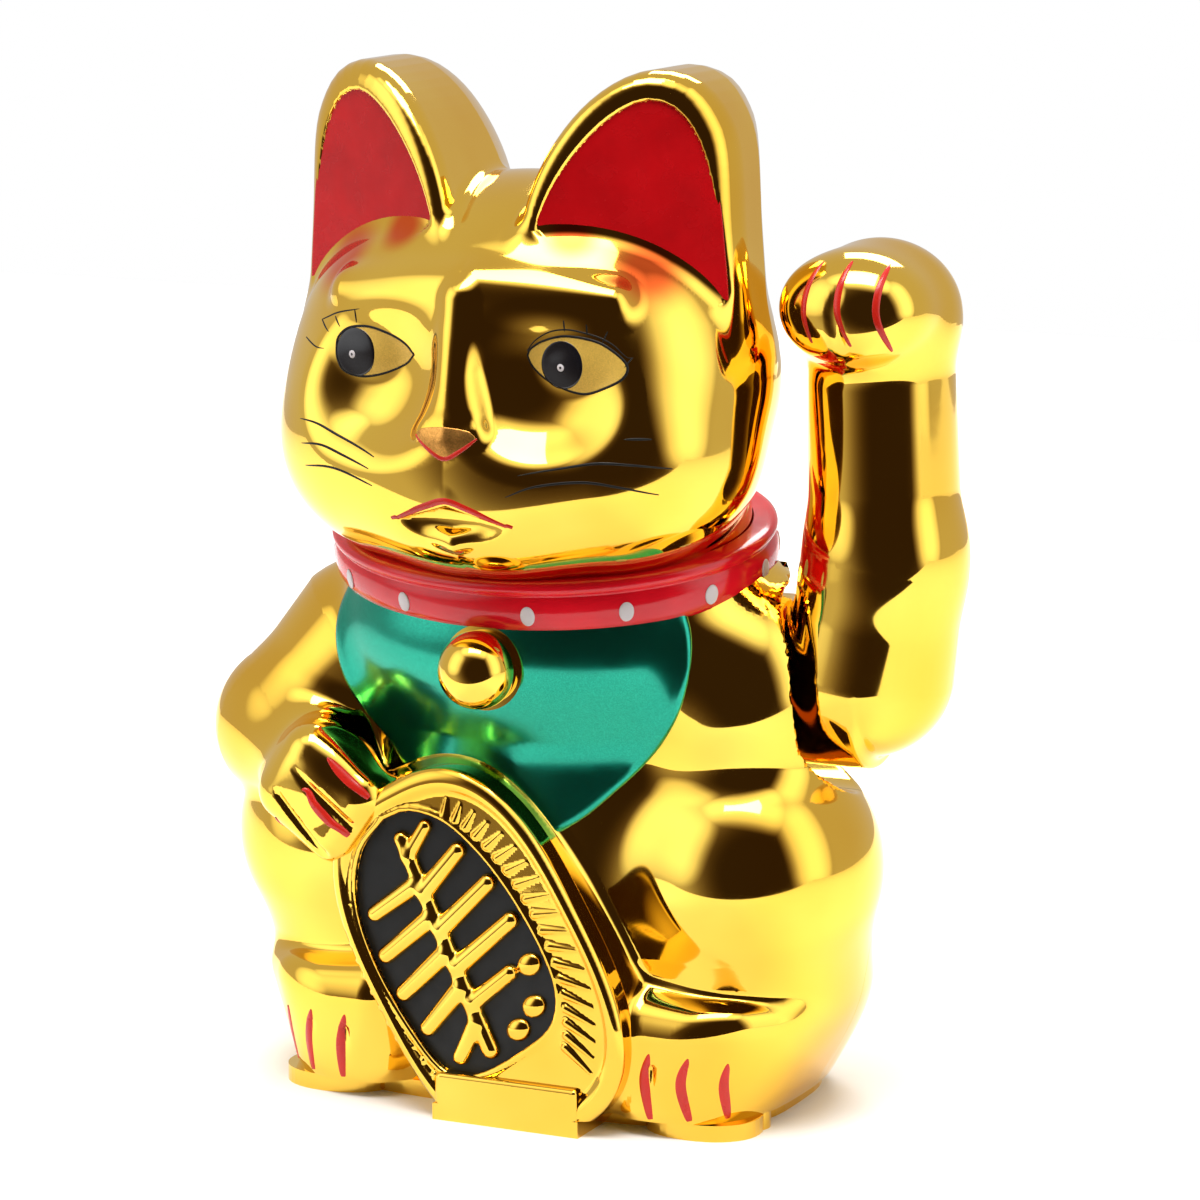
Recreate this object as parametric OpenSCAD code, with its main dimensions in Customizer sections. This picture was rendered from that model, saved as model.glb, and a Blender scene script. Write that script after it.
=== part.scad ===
// Battery driven beckoning cat: a hollow gold figure in two shells, with a free swinging arm.
// Frame: +Z up, the cat looks along -Y, its left side is +X, origin on the floor under the base.

/* [Body] */
// Height of the neck, where the collar sits, above the floor
neck_h = 79; // [66:1:95]
// Width across the haunches
haunch_w = 98; // [86:1:118]
// Depth of the body at the hips
hip_d = 47; // [44:1:57]
// Wall of the moulded shells
wall = 1.6; // [1.2:0.1:2]
// Place of the seam between the front and rear shells, from the origin along Y
seam_y = 2; // [0:0.5:4]

/* [Head] */
// Width of the head across the cheeks
head_w = 72; // [64:1:78]
// Depth of the head without the muzzle
head_d = 60; // [54:1:68]
// Height of the head from chin to crown
head_h = 57; // [50:1:68]
// Rise of the ear tips above the crown
ear_rise = 15; // [11:1:19]

/* [Collar, bib and bell] */
// Width of the collar ring, outside
collar_w = 67; // [62:1:72]
// Depth of the collar ring, outside
collar_d = 51; // [48:1:54]
// Height of the collar band
collar_h = 8; // [6.5:0.5:9.5]
// Thickness of the collar band
collar_t = 3.4; // [2.8:0.1:4]
// Thickness of the bib over the chest
bib_t = 0.8; // [0.6:0.1:1.2]
// Diameter of the bell
bell_d = 11.4; // [9.5:0.1:13.6]

/* [Coin] */
// Width of the coin tablet
coin_w = 36; // [30:1:40]
// Length of the coin tablet
coin_l = 56; // [48:1:60]
// Lean of the tablet in the plane of the front, in degrees
coin_turn = 30; // [25:1:35]

/* [Raised arm] */
// Height of the arm above its pivot
arm_h = 64; // [54:1:76]
// Diameter of the forearm
forearm_d = 20; // [17:0.5:22]
// Diameter of the arm root inside the shoulder opening
root_d = 24; // [20:0.5:26]
// Wall of the arm halves
arm_wall = 1.2; // [1:0.1:1.5]
// Gap between the arm root and the edge of the shoulder opening
shoulder_gap = 3.5; // [2:0.5:5]
// Depth of the pivot below the neck
pivot_drop = 16.5; // [14:0.5:18]

/* [Movement] */
// Diameter of the steel axle
axle_d = 2.5; // [2:0.1:3]
// Running clearance of the axle in its bearings, on the radius
axle_gap = 0.05; // [0.03:0.01:0.1]
// Diameter of the magnet
magnet_d = 12; // [10:0.5:14]
// Height of the magnet
magnet_h = 4; // [3:0.5:5]
// Air gap between the magnet and the coil
coil_gap = 2; // [1.5:0.1:3]
// Outside diameter of the coil bobbin
coil_d = 16; // [13:0.5:16.5]
// Height of the coil bobbin
coil_h = 9; // [7.5:0.5:11]
// Distance of the lever from the middle plane
lever_x = 10; // [8:0.5:12]
// Distance of the balance weight behind the pivot plane
weight_back = 1.8; // [0:0.1:4]

/* [Base and battery] */
// Width of the base
base_w = 73; // [66:1:80]
// Thickness of the base plate
base_t = 2.4; // [2.4:0.1:3]
// Diameter of the battery cell
cell_d = 14.5; // [14:0.1:14.5]
// Length of the battery cell body
cell_l = 49.2; // [44:0.1:49.2]
// Travel of the battery cover
cover_travel = 6; // [4:0.5:6]

/* [Hidden] */

fit = 0.1;          // clearance of a seated piece, on each side
slide_gap = 0.2;    // clearance of the sliding cover
body_facets = 24;   // facets round the outer forms
core_facets = 16;   // facets round the inner faces of the walls

// heights
chin_z = neck_h - 1;
head_z = chin_z + head_h / 2;
crown_z = chin_z + head_h;
ear_z = crown_z + ear_rise;
pivot_z = neck_h - pivot_drop;
chest_z = neck_h - 21;
hip_z = 30;
haunch_z = 34;

// the figure's places across and along
pivot_y = seam_y;
head_y = -11.5;
hip_y = 0;
foot_line_y = 0.9;      // middle of the footprint's main part
foot_line_d = 40.6;     // depth of the footprint's main part
chest_y = -3;
haunch_r = [19, 23, 20];
haunch_x = haunch_w / 2 - haunch_r.x;
chest_r = [32, 19.5, 20];
shoulder_r = 16;
shoulder_x = haunch_x;
foot_r = [13, 8.5, 10];
foot_x = haunch_x;
foot_y = -18;

// collar ring, tilted down at the front
collar_tilt = 11.6;
collar_room = 0.15;      // clearance round the collar in the shells

collar_y = -5;
collar_z = neck_h + 1.6;
neck_rx = collar_w / 2 - collar_t - fit;
neck_ry = collar_d / 2 - collar_t - fit;

// shoulder opening and arm
opening_r = root_d / 2 + shoulder_gap;
arm_gap = 2.4;      // space between the widest of the head or chest and the forearm
forearm_x = max(head_w / 2, shoulder_x + 8) + arm_gap + forearm_d / 2;
elbow_r = forearm_d / 2 + 2.6;
root_in_x = shoulder_x;         // inner end of the arm root
arm_top_z = pivot_z + arm_h;
paw_r = [11.5, 10.5, 9];
paw_at = [forearm_x - 0.5, pivot_y - 9, arm_top_z - paw_r.z];

// movement frame
hub_l = magnet_d + 6;
cheek_t = 2.4;
cheek_gap = 0.5;
cheek_x = hub_l / 2 + cheek_gap;      // inner face of a cheek from the lever's middle
hub_r = 4;
bay_wall = 1;
plate_t = 0.4;
plate_size = [10, 11];
spring_d = 0.6;
cell_gap = 0.25;
nub_l = 1.3;
spring_room = 5;
bay_in = [cell_l + nub_l + spring_room + 1.1, cell_d + 2 * cell_gap, base_t + cell_d + 0.6];
bay_y = -7.7;
bay_back = bay_y + bay_in.y / 2 + bay_wall;
board_t = 1.6;
board_z = bay_in.z + bay_wall + 0.8;
coil_z = board_z + board_t;
magnet_z = coil_z + coil_h + coil_gap;
cup_wall = 1.2;
cup_r = magnet_d / 2 + cup_wall;
lever_t = 5;
board_w = 2 * cheek_x - 1;
board_front = pivot_y - coil_d / 2 - 1;
board_back = pivot_y + 15.4;
screw_d = 2.2;
head_screw_d = 4.2;
head_screw_h = 1.5;
boss_d = 6;
board_screw_y = board_back - 2.6;
frame_foot_y = pivot_y + 7.4;
frame_foot = [8, 9, 3];
frame_foot_x = cheek_x + frame_foot.x / 2 + 0.8;
frame_back = frame_foot_y + frame_foot.y / 2;
frame_bar_y = board_screw_y - boss_d / 2 - 4;
frame_z = base_t + 8;   // top of the posts that carry the movement frame
cheek_r = 4.5;          // half width of the cheeks, and their rounding about the pivot

// battery cover
cover_t = 1.2;
cover_lift = 0.2;
ledge_t = 0.85;
cover_w = bay_in.x + 3;
cover_d = bay_in.y + 3.4;
flange = 1.2;
flange_t = 0.5;
cell_z = cover_lift + cover_t + cell_gap + cell_d / 2;
cell_x = bay_in.x / 2 - plate_t - 2 * fit - nub_l - cell_l;      // closed end of the cell

// screws that join the shells, as [x, z]
shell_screw_at = [[-haunch_x, 38], [haunch_x + 2, 24], [0, head_z + 4]];
seat_depth = 6;
shell_screw_l = 14;
// screws that hold the base, as [x, y]
base_screw_at = [[-foot_x - 4.5, -13], [foot_x + 4.5, -13], [-foot_x - 1.5, 11.5], [foot_x + 1.5, 11.5]];
base_screw_l = 9;
cup_z = base_t + 2.2;

function ellipse_pts(c, r, n = 48, p = 2) = [for (i = [0 : n - 1]) let (a = i * 360 / n)
    [c.x + r.x * sign(cos(a)) * pow(abs(cos(a)), 2 / p), c.y + r.y * sign(sin(a)) * pow(abs(sin(a)), 2 / p)]];

// a ball with a radius along each axis, made smaller by inset
module ball(at, r, inset = 0) {
    translate(at) scale([r.x - inset, r.y - inset, r.z - inset]) sphere(1);
}

// a round ball
module knob(at, r, inset = 0) {
    ball(at, [r, r, r], inset);
}

// two mirrored copies
module both() {
    children();
    mirror([1, 0, 0]) children();
}

// tube of diameter d along points p, as one swept solid
function unit(v) = v / norm(v);
function way(p, i) = unit(p[min(i + 1, len(p) - 1)] - p[max(i - 1, 0)]);
function side_of(t) = unit(cross(t, abs(t.z) < 0.8 ? [0, 0, 1] : [0, 1, 0]));
function carried(t, s) = unit(s - (s * t) * t);
function sides_along(p, i = 0, s = undef) = i == len(p) ? [] :
    let (t = way(p, i), now = s == undef ? side_of(t) : carried(t, s))
    concat([now], sides_along(p, i + 1, now));
module tube(p, d, n = 8) {
    s = sides_along(p);
    rings = [for (i = [0 : len(p) - 1]) let (t = way(p, i), u = s[i], v = cross(t, u))
        for (k = [0 : n - 1]) p[i] + d / 2 * (cos(k * 360 / n) * u + sin(k * 360 / n) * v)];
    last = (len(p) - 1) * n;
    walls = [for (i = [0 : len(p) - 2]) for (k = [0 : n - 1])
        [i * n + k, i * n + (k + 1) % n, (i + 1) * n + (k + 1) % n, (i + 1) * n + k]];
    polyhedron(rings, concat([[for (k = [n - 1 : -1 : 0]) k]], [[for (k = [0 : n - 1]) last + k]],
        [for (w = walls) [w[2], w[1], w[0]]], [for (w = walls) [w[3], w[2], w[0]]]), convexity = 4);
}

// ---------------------------------------------------------------- the figure's outer form

// chest and belly, in one flowing form
module torso(g = 0) {
    hull() {
        ball([0, hip_y, hip_z], [haunch_w / 2 - 9, hip_d / 2 - 1, 26], g);
        translate([0, foot_line_y, 0]) linear_extrude(1)
            polygon(ellipse_pts([0, 0], [base_w / 2 - 1.5 - g, foot_line_d / 2 - g], body_facets, 3.4));
    }
    hull() {
        ball([0, hip_y, hip_z + 4], [haunch_w / 2 - 12, hip_d / 2 - 1, 20], g);
        ball([0, chest_y, chest_z], chest_r, g);
    }
    hull() {
        ball([0, chest_y, chest_z], chest_r, g);
        translate([0, collar_y, collar_z]) rotate([collar_tilt, 0, 0])
            ball([0, 0, -1], [neck_rx + 0.8, neck_ry - 0.6, 5], g);
    }
}

// neck between the body and the head: straight behind the collar, narrower inside the head
module neck(g = 0) {
    low = -collar_h / 2 - 3;
    top = collar_h / 2 + 2;
    translate([0, collar_y, collar_z]) rotate([collar_tilt, 0, 0]) {
        translate([0, 0, low]) linear_extrude(top - low)
            polygon(ellipse_pts([0, 0], [neck_rx - g, neck_ry - g], 40));
        hull() {
            translate([0, 0, top - 1]) linear_extrude(1)
                polygon(ellipse_pts([0, 0], [neck_rx - g, neck_ry - g], 40));
            translate([0, -3, top + 12]) linear_extrude(1)
                polygon(ellipse_pts([0, 0], [neck_rx - g - 7, neck_ry - g - 7], 40));
        }
    }
}

// haunches and feet
module legs(g = 0) {
    both() {
        hull() {
            ball([haunch_x, -2, haunch_z], haunch_r, g);
            ball([haunch_x - 3, 1, 13], [14, 19, 15], g);
        }
        hull() {
            ball([foot_x, foot_y, 9], foot_r, g);
            ball([foot_x - 1, foot_y + 12, 9], foot_r, g);
        }
    }
}

// shoulders, and the cat's right arm with its paw on the coin
module arms(g = 0) {
    both() hull() {
        ball([shoulder_x - 1, -1, pivot_z - 3], [shoulder_r, shoulder_r + 2, shoulder_r + 1], g);
        ball([haunch_x, -2, haunch_z + 4], [14, 18, 12], g);
    }
    hull() {
        knob([-shoulder_x - 2, -6, pivot_z - 6], 14, g);
        knob([-haunch_x - 7.5, -9, pivot_z - 12], 11.5, g);
    }
    hull() {
        knob([-haunch_x - 7, -10, pivot_z - 13], 11, g);
        ball([-25, -23, 50], [8.5, 6.5, 7.5], g);
    }
}

module head(g = 0) {
    ball([0, head_y, head_z], [head_w / 2, head_d / 2, head_h / 2], g);
    ball([0, head_y - 13.5, head_z - 9.5], [18, 14, 11.5], g);
    hull() {
        knob([0, head_y - head_d / 2 + 3.5, head_z + 4], 4, g);
        knob([0, head_y - head_d / 2 + 3.6, head_z - 7], 3.8, g);
    }
}

// an ear: a thick wedge whose front face is an arch that turns outwards
ear_in = [9, crown_z - 7];
ear_top = [22.8, ear_z - 9];
ear_out = [32, crown_z - 17];
ear_lip = 3.6;
function ear_plane(x) = head_y - 16.1 + (x - 9) * 0.42;
module ear(g = 0) {
    hull() {
        knob([ear_in.x, ear_plane(ear_in.x) + ear_lip, ear_in.y], ear_lip, g);
        ball([ear_top.x + 0.4, ear_plane(ear_top.x) + ear_lip + 0.4, ear_top.y], [8.2, ear_lip + 0.4, 8], g);
        knob([ear_out.x, ear_plane(ear_out.x) + ear_lip, ear_out.y], ear_lip, g);
        knob([ear_top.x, head_y + 2.5, ear_top.y], 9, g);
        knob([ear_in.x - 3, head_y + 3, ear_in.y + 3], 4, g);
        knob([ear_out.x + 0.6, head_y + 4, ear_out.y + 3], 4, g);
        knob([ear_top.x - 3, seam_y + 3, ear_top.y - 7], 8, g);
    }
}

// arch of the sunk lining in an ear's front, as [x, z]
ear_arch = [ear_in + [3, 1.5], ear_in + [6, 9], ear_top + [-4.5, 3.6], ear_top + [0.8, 5.8], ear_top + [5, 3.4],
    ear_out + [-1.2, 17], ear_out + [-0.6, 2]];
lining_depth = 1.4;
module ears(g = 0) {
    both() difference() {
        ear(g);
        if (g == 0) hull() for (p = ear_arch, far = [0, 6])
            knob([p.x, ear_plane(p.x) + lining_depth - 0.8 - far, p.y], 0.8, $fn = 10);
    }
}

coin_front_y = -28.2;
coin_at = [-1.5, coin_front_y, 24];
// the coin tablet as a block standing out from the belly
module coin_block(t) {
    translate(coin_at) rotate([0, -coin_turn, 0]) rotate([90, 0, 0]) translate([0, 0, -t])
        linear_extrude(t) polygon(ellipse_pts([0, 0], [coin_w / 2, coin_l / 2], 40, 2.8));
}

// sunk field of the coin
module coin_field(depth) {
    translate(coin_at) rotate([0, -coin_turn, 0]) rotate([90, 0, 0]) translate([0, 0, -depth])
        linear_extrude(depth + 1) polygon(ellipse_pts([0, 0], [coin_w / 2 - 4, coin_l / 2 - 4], 40, 2.8));
}

// the small plinth under the coin
module coin_foot(g = 0) {
    translate([-8 + g, coin_front_y - 0.6 + g, 0]) cube([23 - 2 * g, 14, 6 - g]);
}

module form(g = 0) {
    torso(g);
    neck(g);
    legs(g);
    arms(g);
    head(g);
    ears(g);
}

// space that the arm root swings in, a round opening through the shoulder
module shoulder_opening() {
    translate([shoulder_x - 12, pivot_y, pivot_z]) rotate([0, 90, 0])
        cylinder(r = opening_r, h = 60, $fn = 48);
}

// the collar's section, as [out, up] from the ring's inner lower edge
collar_section = [[0, 0], [collar_t * 0.55, 0.2], [collar_t * 0.85, collar_h * 0.2], [collar_t * 0.93, collar_h * 0.6],
    [collar_t * 0.8, collar_h * 0.72], [collar_t, collar_h * 0.84], [collar_t * 0.7, collar_h], [0, collar_h]];

// the ring swept round the neck, open by a narrow slit at the back
module collar_ring() {
    n = 60;
    k = len(collar_section);
    slit = 1.2;
    p = [for (i = [0 : n]) let (a = 90 + slit + i * (360 - 2 * slit) / n) for (s = collar_section)
        [(neck_rx + fit + s.x) * cos(a), (neck_ry + fit + s.x) * sin(a), s.y - collar_h / 2]];
    walls = [for (i = [0 : n - 1]) for (j = [0 : k - 1])
        [i * k + j, i * k + (j + 1) % k, (i + 1) * k + (j + 1) % k, (i + 1) * k + j]];
    translate([0, collar_y, collar_z]) rotate([collar_tilt, 0, 0])
        polyhedron(p, concat([[for (j = [0 : k - 1]) j]], [[for (j = [k - 1 : -1 : 0]) n * k + j]],
            [for (w = walls) [w[2], w[1], w[0]]], [for (w = walls) [w[3], w[2], w[0]]]), convexity = 6);
}

// tilted elliptical disc that the collar sits in, grown by a gap all round
module collar_space(gap, up = 0) {
    translate([0, collar_y, collar_z]) rotate([collar_tilt, 0, 0]) translate([0, 0, -collar_h / 2 - gap])
        linear_extrude(collar_h + 2 * gap + up)
            polygon(ellipse_pts([0, 0], [collar_w / 2 + gap, collar_d / 2 + gap], 56));
}

// ---------------------------------------------------------------- shells

// round posts that the shell screws run through
module shell_bosses() {
    for (p = shell_screw_at) translate([p.x, -60, p.y]) rotate([-90, 0, 0])
        cylinder(d = boss_d, h = 120, $fn = 24);
}

module shell_screw_holes() {
    for (p = shell_screw_at) {
        translate([p.x, seam_y - shell_screw_l, p.y]) rotate([-90, 0, 0])
            cylinder(d = screw_d + 2 * fit, h = 60, $fn = 16);
        translate([p.x, seam_y + seat_depth, p.y]) rotate([-90, 0, 0])
            cylinder(d = head_screw_d + 4 * fit, h = 60, $fn = 20);
    }
}

// posts in the shells that take the base screws
module base_bosses() {
    for (p = base_screw_at) {
        translate([p.x, p.y, cup_z]) cylinder(d = boss_d, h = base_screw_l + 3, $fn = 24);
        translate([p.x > 0 ? p.x : p.x - 20, p.y - 0.8, cup_z]) cube([20, 1.6, base_screw_l]);
    }
}

module base_screw_holes() {
    for (p = base_screw_at) {
        translate([p.x, p.y, -1]) cylinder(d = screw_d + 2 * fit, h = base_screw_l + 4, $fn = 16);
        translate([p.x, p.y, -1]) cylinder(d = boss_d + 4 * fit, h = cup_z + 1, $fn = 24);
    }
}

// the hollow figure before it is split
module hull_of_figure() {
    difference() {
        union() {
            difference() {
                union() {
                    difference() {
                        form(0, $fn = body_facets);
                        collar_space(collar_room);
                    }
                    neck();
                    coin_block(8);
                    coin_foot();
                }
                form(wall, $fn = core_facets);
                coin_foot(wall);
            }
            intersection() {
                form(wall / 2, $fn = core_facets);
                union() {
                    shell_bosses();
                    base_bosses();
                }
            }
        }
        coin_field(0.8);
        shoulder_opening();
        shell_screw_holes();
        base_screw_holes();
        translate([-100, -100, -50]) cube([200, 200, 50 + base_t]);
    }
}

module front_shell() {
    color([0.96, 0.74, 0.12]) intersection() {
        hull_of_figure();
        translate([-100, seam_y - 100, 0]) cube([200, 100, 250]);
    }
}

module rear_shell() {
    color([0.93, 0.71, 0.12]) intersection() {
        hull_of_figure();
        translate([-100, seam_y, 0]) cube([200, 100, 250]);
    }
}

module collar() {
    color([0.85, 0.05, 0.1]) collar_ring();
}

// outline of the bib from the front
module bib_outline() {
    translate([0, 0, neck_h - 2]) rotate([90, 0, 0]) linear_extrude(60)
        polygon(concat([[-29, 12], [-29, 0]], [for (a = [10 : 10 : 170])
            [-29 * cos(a), -41 * pow(sin(a), 0.8)]], [[29, 0], [29, 12]]));
}

module bib() {
    color([0.05, 0.55, 0.42]) difference() {
        intersection() {
            torso(-bib_t, $fn = body_facets);
            bib_outline();
        }
        form(-0.02, $fn = body_facets);
        collar_space(0.3, 30);
        translate(coin_at) rotate([0, -coin_turn, 0]) rotate([90, 0, 0]) translate([0, 0, -30])
            linear_extrude(60) polygon(ellipse_pts([0, 0], [coin_w / 2 + 0.3, coin_l / 2 + 0.3], 40, 2.8));
    }
}

// the bell hangs against the bib, below the collar, where the chest leans forward
bell_lean = 1.95;
bell_drop = 12.4;
bell_at = [0, chest_y - chest_r.y - bib_t - bell_d / 2 - bell_lean, neck_h - bell_drop];
module bell() {
    color([0.98, 0.78, 0.2]) translate(bell_at) difference() {
        union() {
            sphere(d = bell_d, $fn = 48);
            rotate([8, 0, 0]) rotate_extrude($fn = 48)
                translate([bell_d / 2, 0]) circle(d = 1, $fn = 16);
        }
        translate([-bell_d, -bell_d / 2 - 1, -bell_d / 4 - 0.5]) cube([2 * bell_d, bell_d / 3, 0.8]);
    }
}

// ---------------------------------------------------------------- raised arm

module arm_form(g = 0) {
    translate([root_in_x, pivot_y, pivot_z]) rotate([0, 90, 0])
        cylinder(r = root_d / 2 - g, h = forearm_x - root_in_x, $fn = 32);
    hull() {
        ball([forearm_x - 2, pivot_y - 1, pivot_z + 2], [elbow_r - 1, elbow_r - 1, elbow_r], g);
        ball([forearm_x + 0.8, pivot_y - 2, pivot_z + 18], [forearm_d / 2 + 1, forearm_d / 2 + 0.5, 12], g);
    }
    hull() {
        ball([forearm_x + 0.8, pivot_y - 2, pivot_z + 18], [forearm_d / 2 + 1, forearm_d / 2 + 0.5, 12], g);
        ball([forearm_x, pivot_y - 3, arm_top_z - 12], [forearm_d / 2, forearm_d / 2, 12], g);
    }
    hull() {
        ball(paw_at, paw_r, g);
        ball([forearm_x, pivot_y - 3, arm_top_z - 10], [forearm_d / 2, forearm_d / 2 - 1, 9], g);
    }
}

plug_l = 12;
plug_d = 8;
plug_x = root_in_x + 3;
// socket in the arm that grips the plug
module arm_socket() {
    difference() {
        translate([plug_x - 1, pivot_y, pivot_z]) rotate([0, 90, 0])
            cylinder(d = plug_d + 4, h = plug_l + 2, $fn = 32);
        translate([plug_x - 2, pivot_y, pivot_z]) rotate([0, 90, 0])
            cylinder(d = plug_d + 2 * fit, h = plug_l + 2 + fit, $fn = 32);
    }
    for (s = [-1, 1]) translate([plug_x + 2, pivot_y - 0.8, pivot_z + s * (plug_d / 2 + 1.5) - (s < 0 ? 8 : 0)])
        cube([6, 1.6, 8]);
}

module arm_shell() {
    intersection() {
        union() {
            difference() {
                arm_form(0, $fn = body_facets + 4);
                arm_form(arm_wall, $fn = core_facets);
                translate([root_in_x - 1, pivot_y, pivot_z]) rotate([0, 90, 0])
                    cylinder(r = root_d / 2 - arm_wall, h = 6, $fn = 32);
            }
            intersection() {
                arm_form(arm_wall / 2, $fn = core_facets);
                arm_socket();
            }
        }
        translate([root_in_x, -100, 0]) cube(200);
    }
}

module arm_front_half() {
    color([0.96, 0.74, 0.12]) intersection() {
        arm_shell();
        translate([0, pivot_y - 100, 0]) cube([200, 100, 300]);
    }
}

module arm_rear_half() {
    color([0.93, 0.71, 0.12]) intersection() {
        arm_shell();
        translate([0, pivot_y, 0]) cube([200, 100, 300]);
    }
}

// plastic plug pressed on the axle, which the arm is pushed onto
module arm_plug() {
    color([0.2, 0.2, 0.2]) difference() {
        translate([plug_x, pivot_y, pivot_z]) rotate([0, 90, 0]) cylinder(d = plug_d, h = plug_l, $fn = 32);
        translate([plug_x - 1, pivot_y, pivot_z]) rotate([0, 90, 0]) cylinder(d = axle_d, h = plug_l - 1, $fn = 24);
    }
}

axle_from = lever_x - cheek_x - cheek_t - 2.5;
axle_to = plug_x + plug_l - 3;
module axle_pin() {
    color([0.75, 0.76, 0.78]) translate([axle_from, pivot_y, pivot_z]) rotate([0, 90, 0])
        cylinder(d = axle_d, h = axle_to - axle_from, $fn = 24);
}

// push-on rings that keep the axle from sliding along
module axle_clips() {
    color([0.6, 0.62, 0.65]) for (x = [axle_from + 1, lever_x + cheek_x + cheek_t + 0.5])
        translate([x, pivot_y, pivot_z]) rotate([0, 90, 0]) difference() {
            cylinder(d = axle_d + 3, h = 0.8, $fn = 24);
            translate([0, 0, -1]) cylinder(d = axle_d, h = 3, $fn = 24);
        }
}

weight = [hub_l - 2, 9, 10];
weight_z = magnet_z + lever_t + 3;
// lever between the cheeks: hub above, magnet cup and weight seat below
module pendulum_lever() {
    color([0.93, 0.93, 0.9]) difference() {
        union() {
            translate([lever_x - hub_l / 2, pivot_y, pivot_z]) rotate([0, 90, 0])
                cylinder(r = hub_r, h = hub_l, $fn = 32);
            translate([lever_x - 3, pivot_y - 3, magnet_z + 2]) cube([6, 6, pivot_z - magnet_z - 2]);
            translate([lever_x, pivot_y, magnet_z]) cylinder(r = cup_r, h = lever_t, $fn = 32);
        }
        translate([lever_x - hub_l, pivot_y, pivot_z]) rotate([0, 90, 0])
            cylinder(d = axle_d, h = 2 * hub_l, $fn = 24);
        translate([lever_x, pivot_y, magnet_z - 1]) cylinder(d = magnet_d, h = magnet_h + 1, $fn = 32);
    }
}

module magnet() {
    color([0.3, 0.3, 0.32]) translate([lever_x, pivot_y, magnet_z]) cylinder(d = magnet_d, h = magnet_h, $fn = 32);
}

// steel block pushed onto the lever's stem from behind
module balance_weight() {
    color([0.55, 0.56, 0.58]) difference() {
        translate([lever_x - weight.x / 2, pivot_y - weight.y / 2 + weight_back, weight_z]) cube(weight);
        translate([lever_x - 3, pivot_y - 3, weight_z - 1]) cube([6, 6, weight.z + 2]);
    }
}

// ---------------------------------------------------------------- movement frame

module movement_frame() {
    color([0.9, 0.9, 0.86]) difference() {
        union() {
            for (s = [-1, 1]) {
                x0 = lever_x + (s < 0 ? -cheek_x - cheek_t : cheek_x);
                translate([x0, pivot_y - cheek_r, board_z]) cube([cheek_t, 2 * cheek_r, pivot_z - board_z]);
                translate([x0, pivot_y, pivot_z]) rotate([0, 90, 0]) cylinder(r = cheek_r, h = cheek_t, $fn = 32);
                translate([x0, bay_back + 0.6, frame_z]) cube([cheek_t, frame_back - bay_back - 0.6, board_z + 4 - frame_z]);
                translate([s < 0 ? x0 - frame_foot.x + cheek_t : x0, frame_back - frame_foot.y, frame_z]) cube(frame_foot);
            }
            translate([lever_x - cheek_x - 0.1, frame_bar_y, frame_z + 3])
                cube([2 * cheek_x + 0.2, 3.2, board_z - frame_z - 4]);
        }
        translate([lever_x - 50, pivot_y, pivot_z]) rotate([0, 90, 0])
            cylinder(r = axle_d / 2 + axle_gap, h = 100, $fn = 24);
        for (s = [-1, 1]) translate([lever_x + s * frame_foot_x, frame_foot_y, 0])
            cylinder(d = screw_d + 2 * fit, h = 30, $fn = 24);
    }
}

module pan_screw(l) {
    difference() {
        union() {
            cylinder(d = screw_d, h = l, $fn = 24);
            translate([0, 0, l]) cylinder(d = head_screw_d, h = head_screw_h, $fn = 24);
        }
        translate([-head_screw_d, -0.25, l + head_screw_h - 0.7]) cube([2 * head_screw_d, 0.5, 1]);
        translate([-0.25, -head_screw_d, l + head_screw_h - 0.7]) cube([0.5, 2 * head_screw_d, 1]);
    }
}

frame_screw_l = 8;
module frame_screws() {
    color([0.7, 0.71, 0.73]) for (s = [-1, 1])
        translate([lever_x + s * frame_foot_x, frame_foot_y, frame_z + frame_foot.z - frame_screw_l])
            pan_screw(frame_screw_l);
}

// ---------------------------------------------------------------- coil and board

module coil_bobbin() {
    color([0.95, 0.95, 0.95]) translate([lever_x, pivot_y, coil_z]) difference() {
        union() {
            cylinder(d = coil_d, h = 1, $fn = 48);
            cylinder(d = coil_d / 2.2, h = coil_h, $fn = 32);
            translate([0, 0, coil_h - 1]) cylinder(d = coil_d, h = 1, $fn = 48);
        }
        translate([0, 0, -1]) cylinder(d = 3.2, h = coil_h + 2, $fn = 24);
    }
}

module coil_winding() {
    color([0.72, 0.36, 0.12]) translate([lever_x, pivot_y, coil_z + 1]) difference() {
        cylinder(d = coil_d - 1.2, h = coil_h - 2, $fn = 48);
        translate([0, 0, -1]) cylinder(d = coil_d / 2.2, h = coil_h, $fn = 32);
    }
}

module circuit_board() {
    color([0.7, 0.55, 0.25]) difference() {
        translate([lever_x - board_w / 2, board_front, board_z]) cube([board_w, board_back - board_front, board_t]);
        translate([lever_x, board_screw_y, 0]) cylinder(d = screw_d + 2 * fit, h = 30, $fn = 24);
    }
}

board_screw_l = 8;
module board_screw() {
    color([0.7, 0.71, 0.73]) translate([lever_x, board_screw_y, board_z + board_t - board_screw_l])
        pan_screw(board_screw_l);
}

part_y = pivot_y + coil_d / 2 + 2.6;
module transistor() {
    color([0.08, 0.08, 0.08]) translate([lever_x - board_w / 2 + 3.6, part_y, coil_z + 2]) difference() {
        cylinder(d = 4.6, h = 4.8, $fn = 24);
        translate([-3, 1, -1]) cube([6, 4, 8]);
    }
    color([0.8, 0.8, 0.82]) for (i = [-1, 0, 1])
        translate([lever_x - board_w / 2 + 3.6 + i * 1.3 - 0.25, part_y - 0.25, coil_z]) cube([0.5, 0.5, 2]);
}

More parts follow.
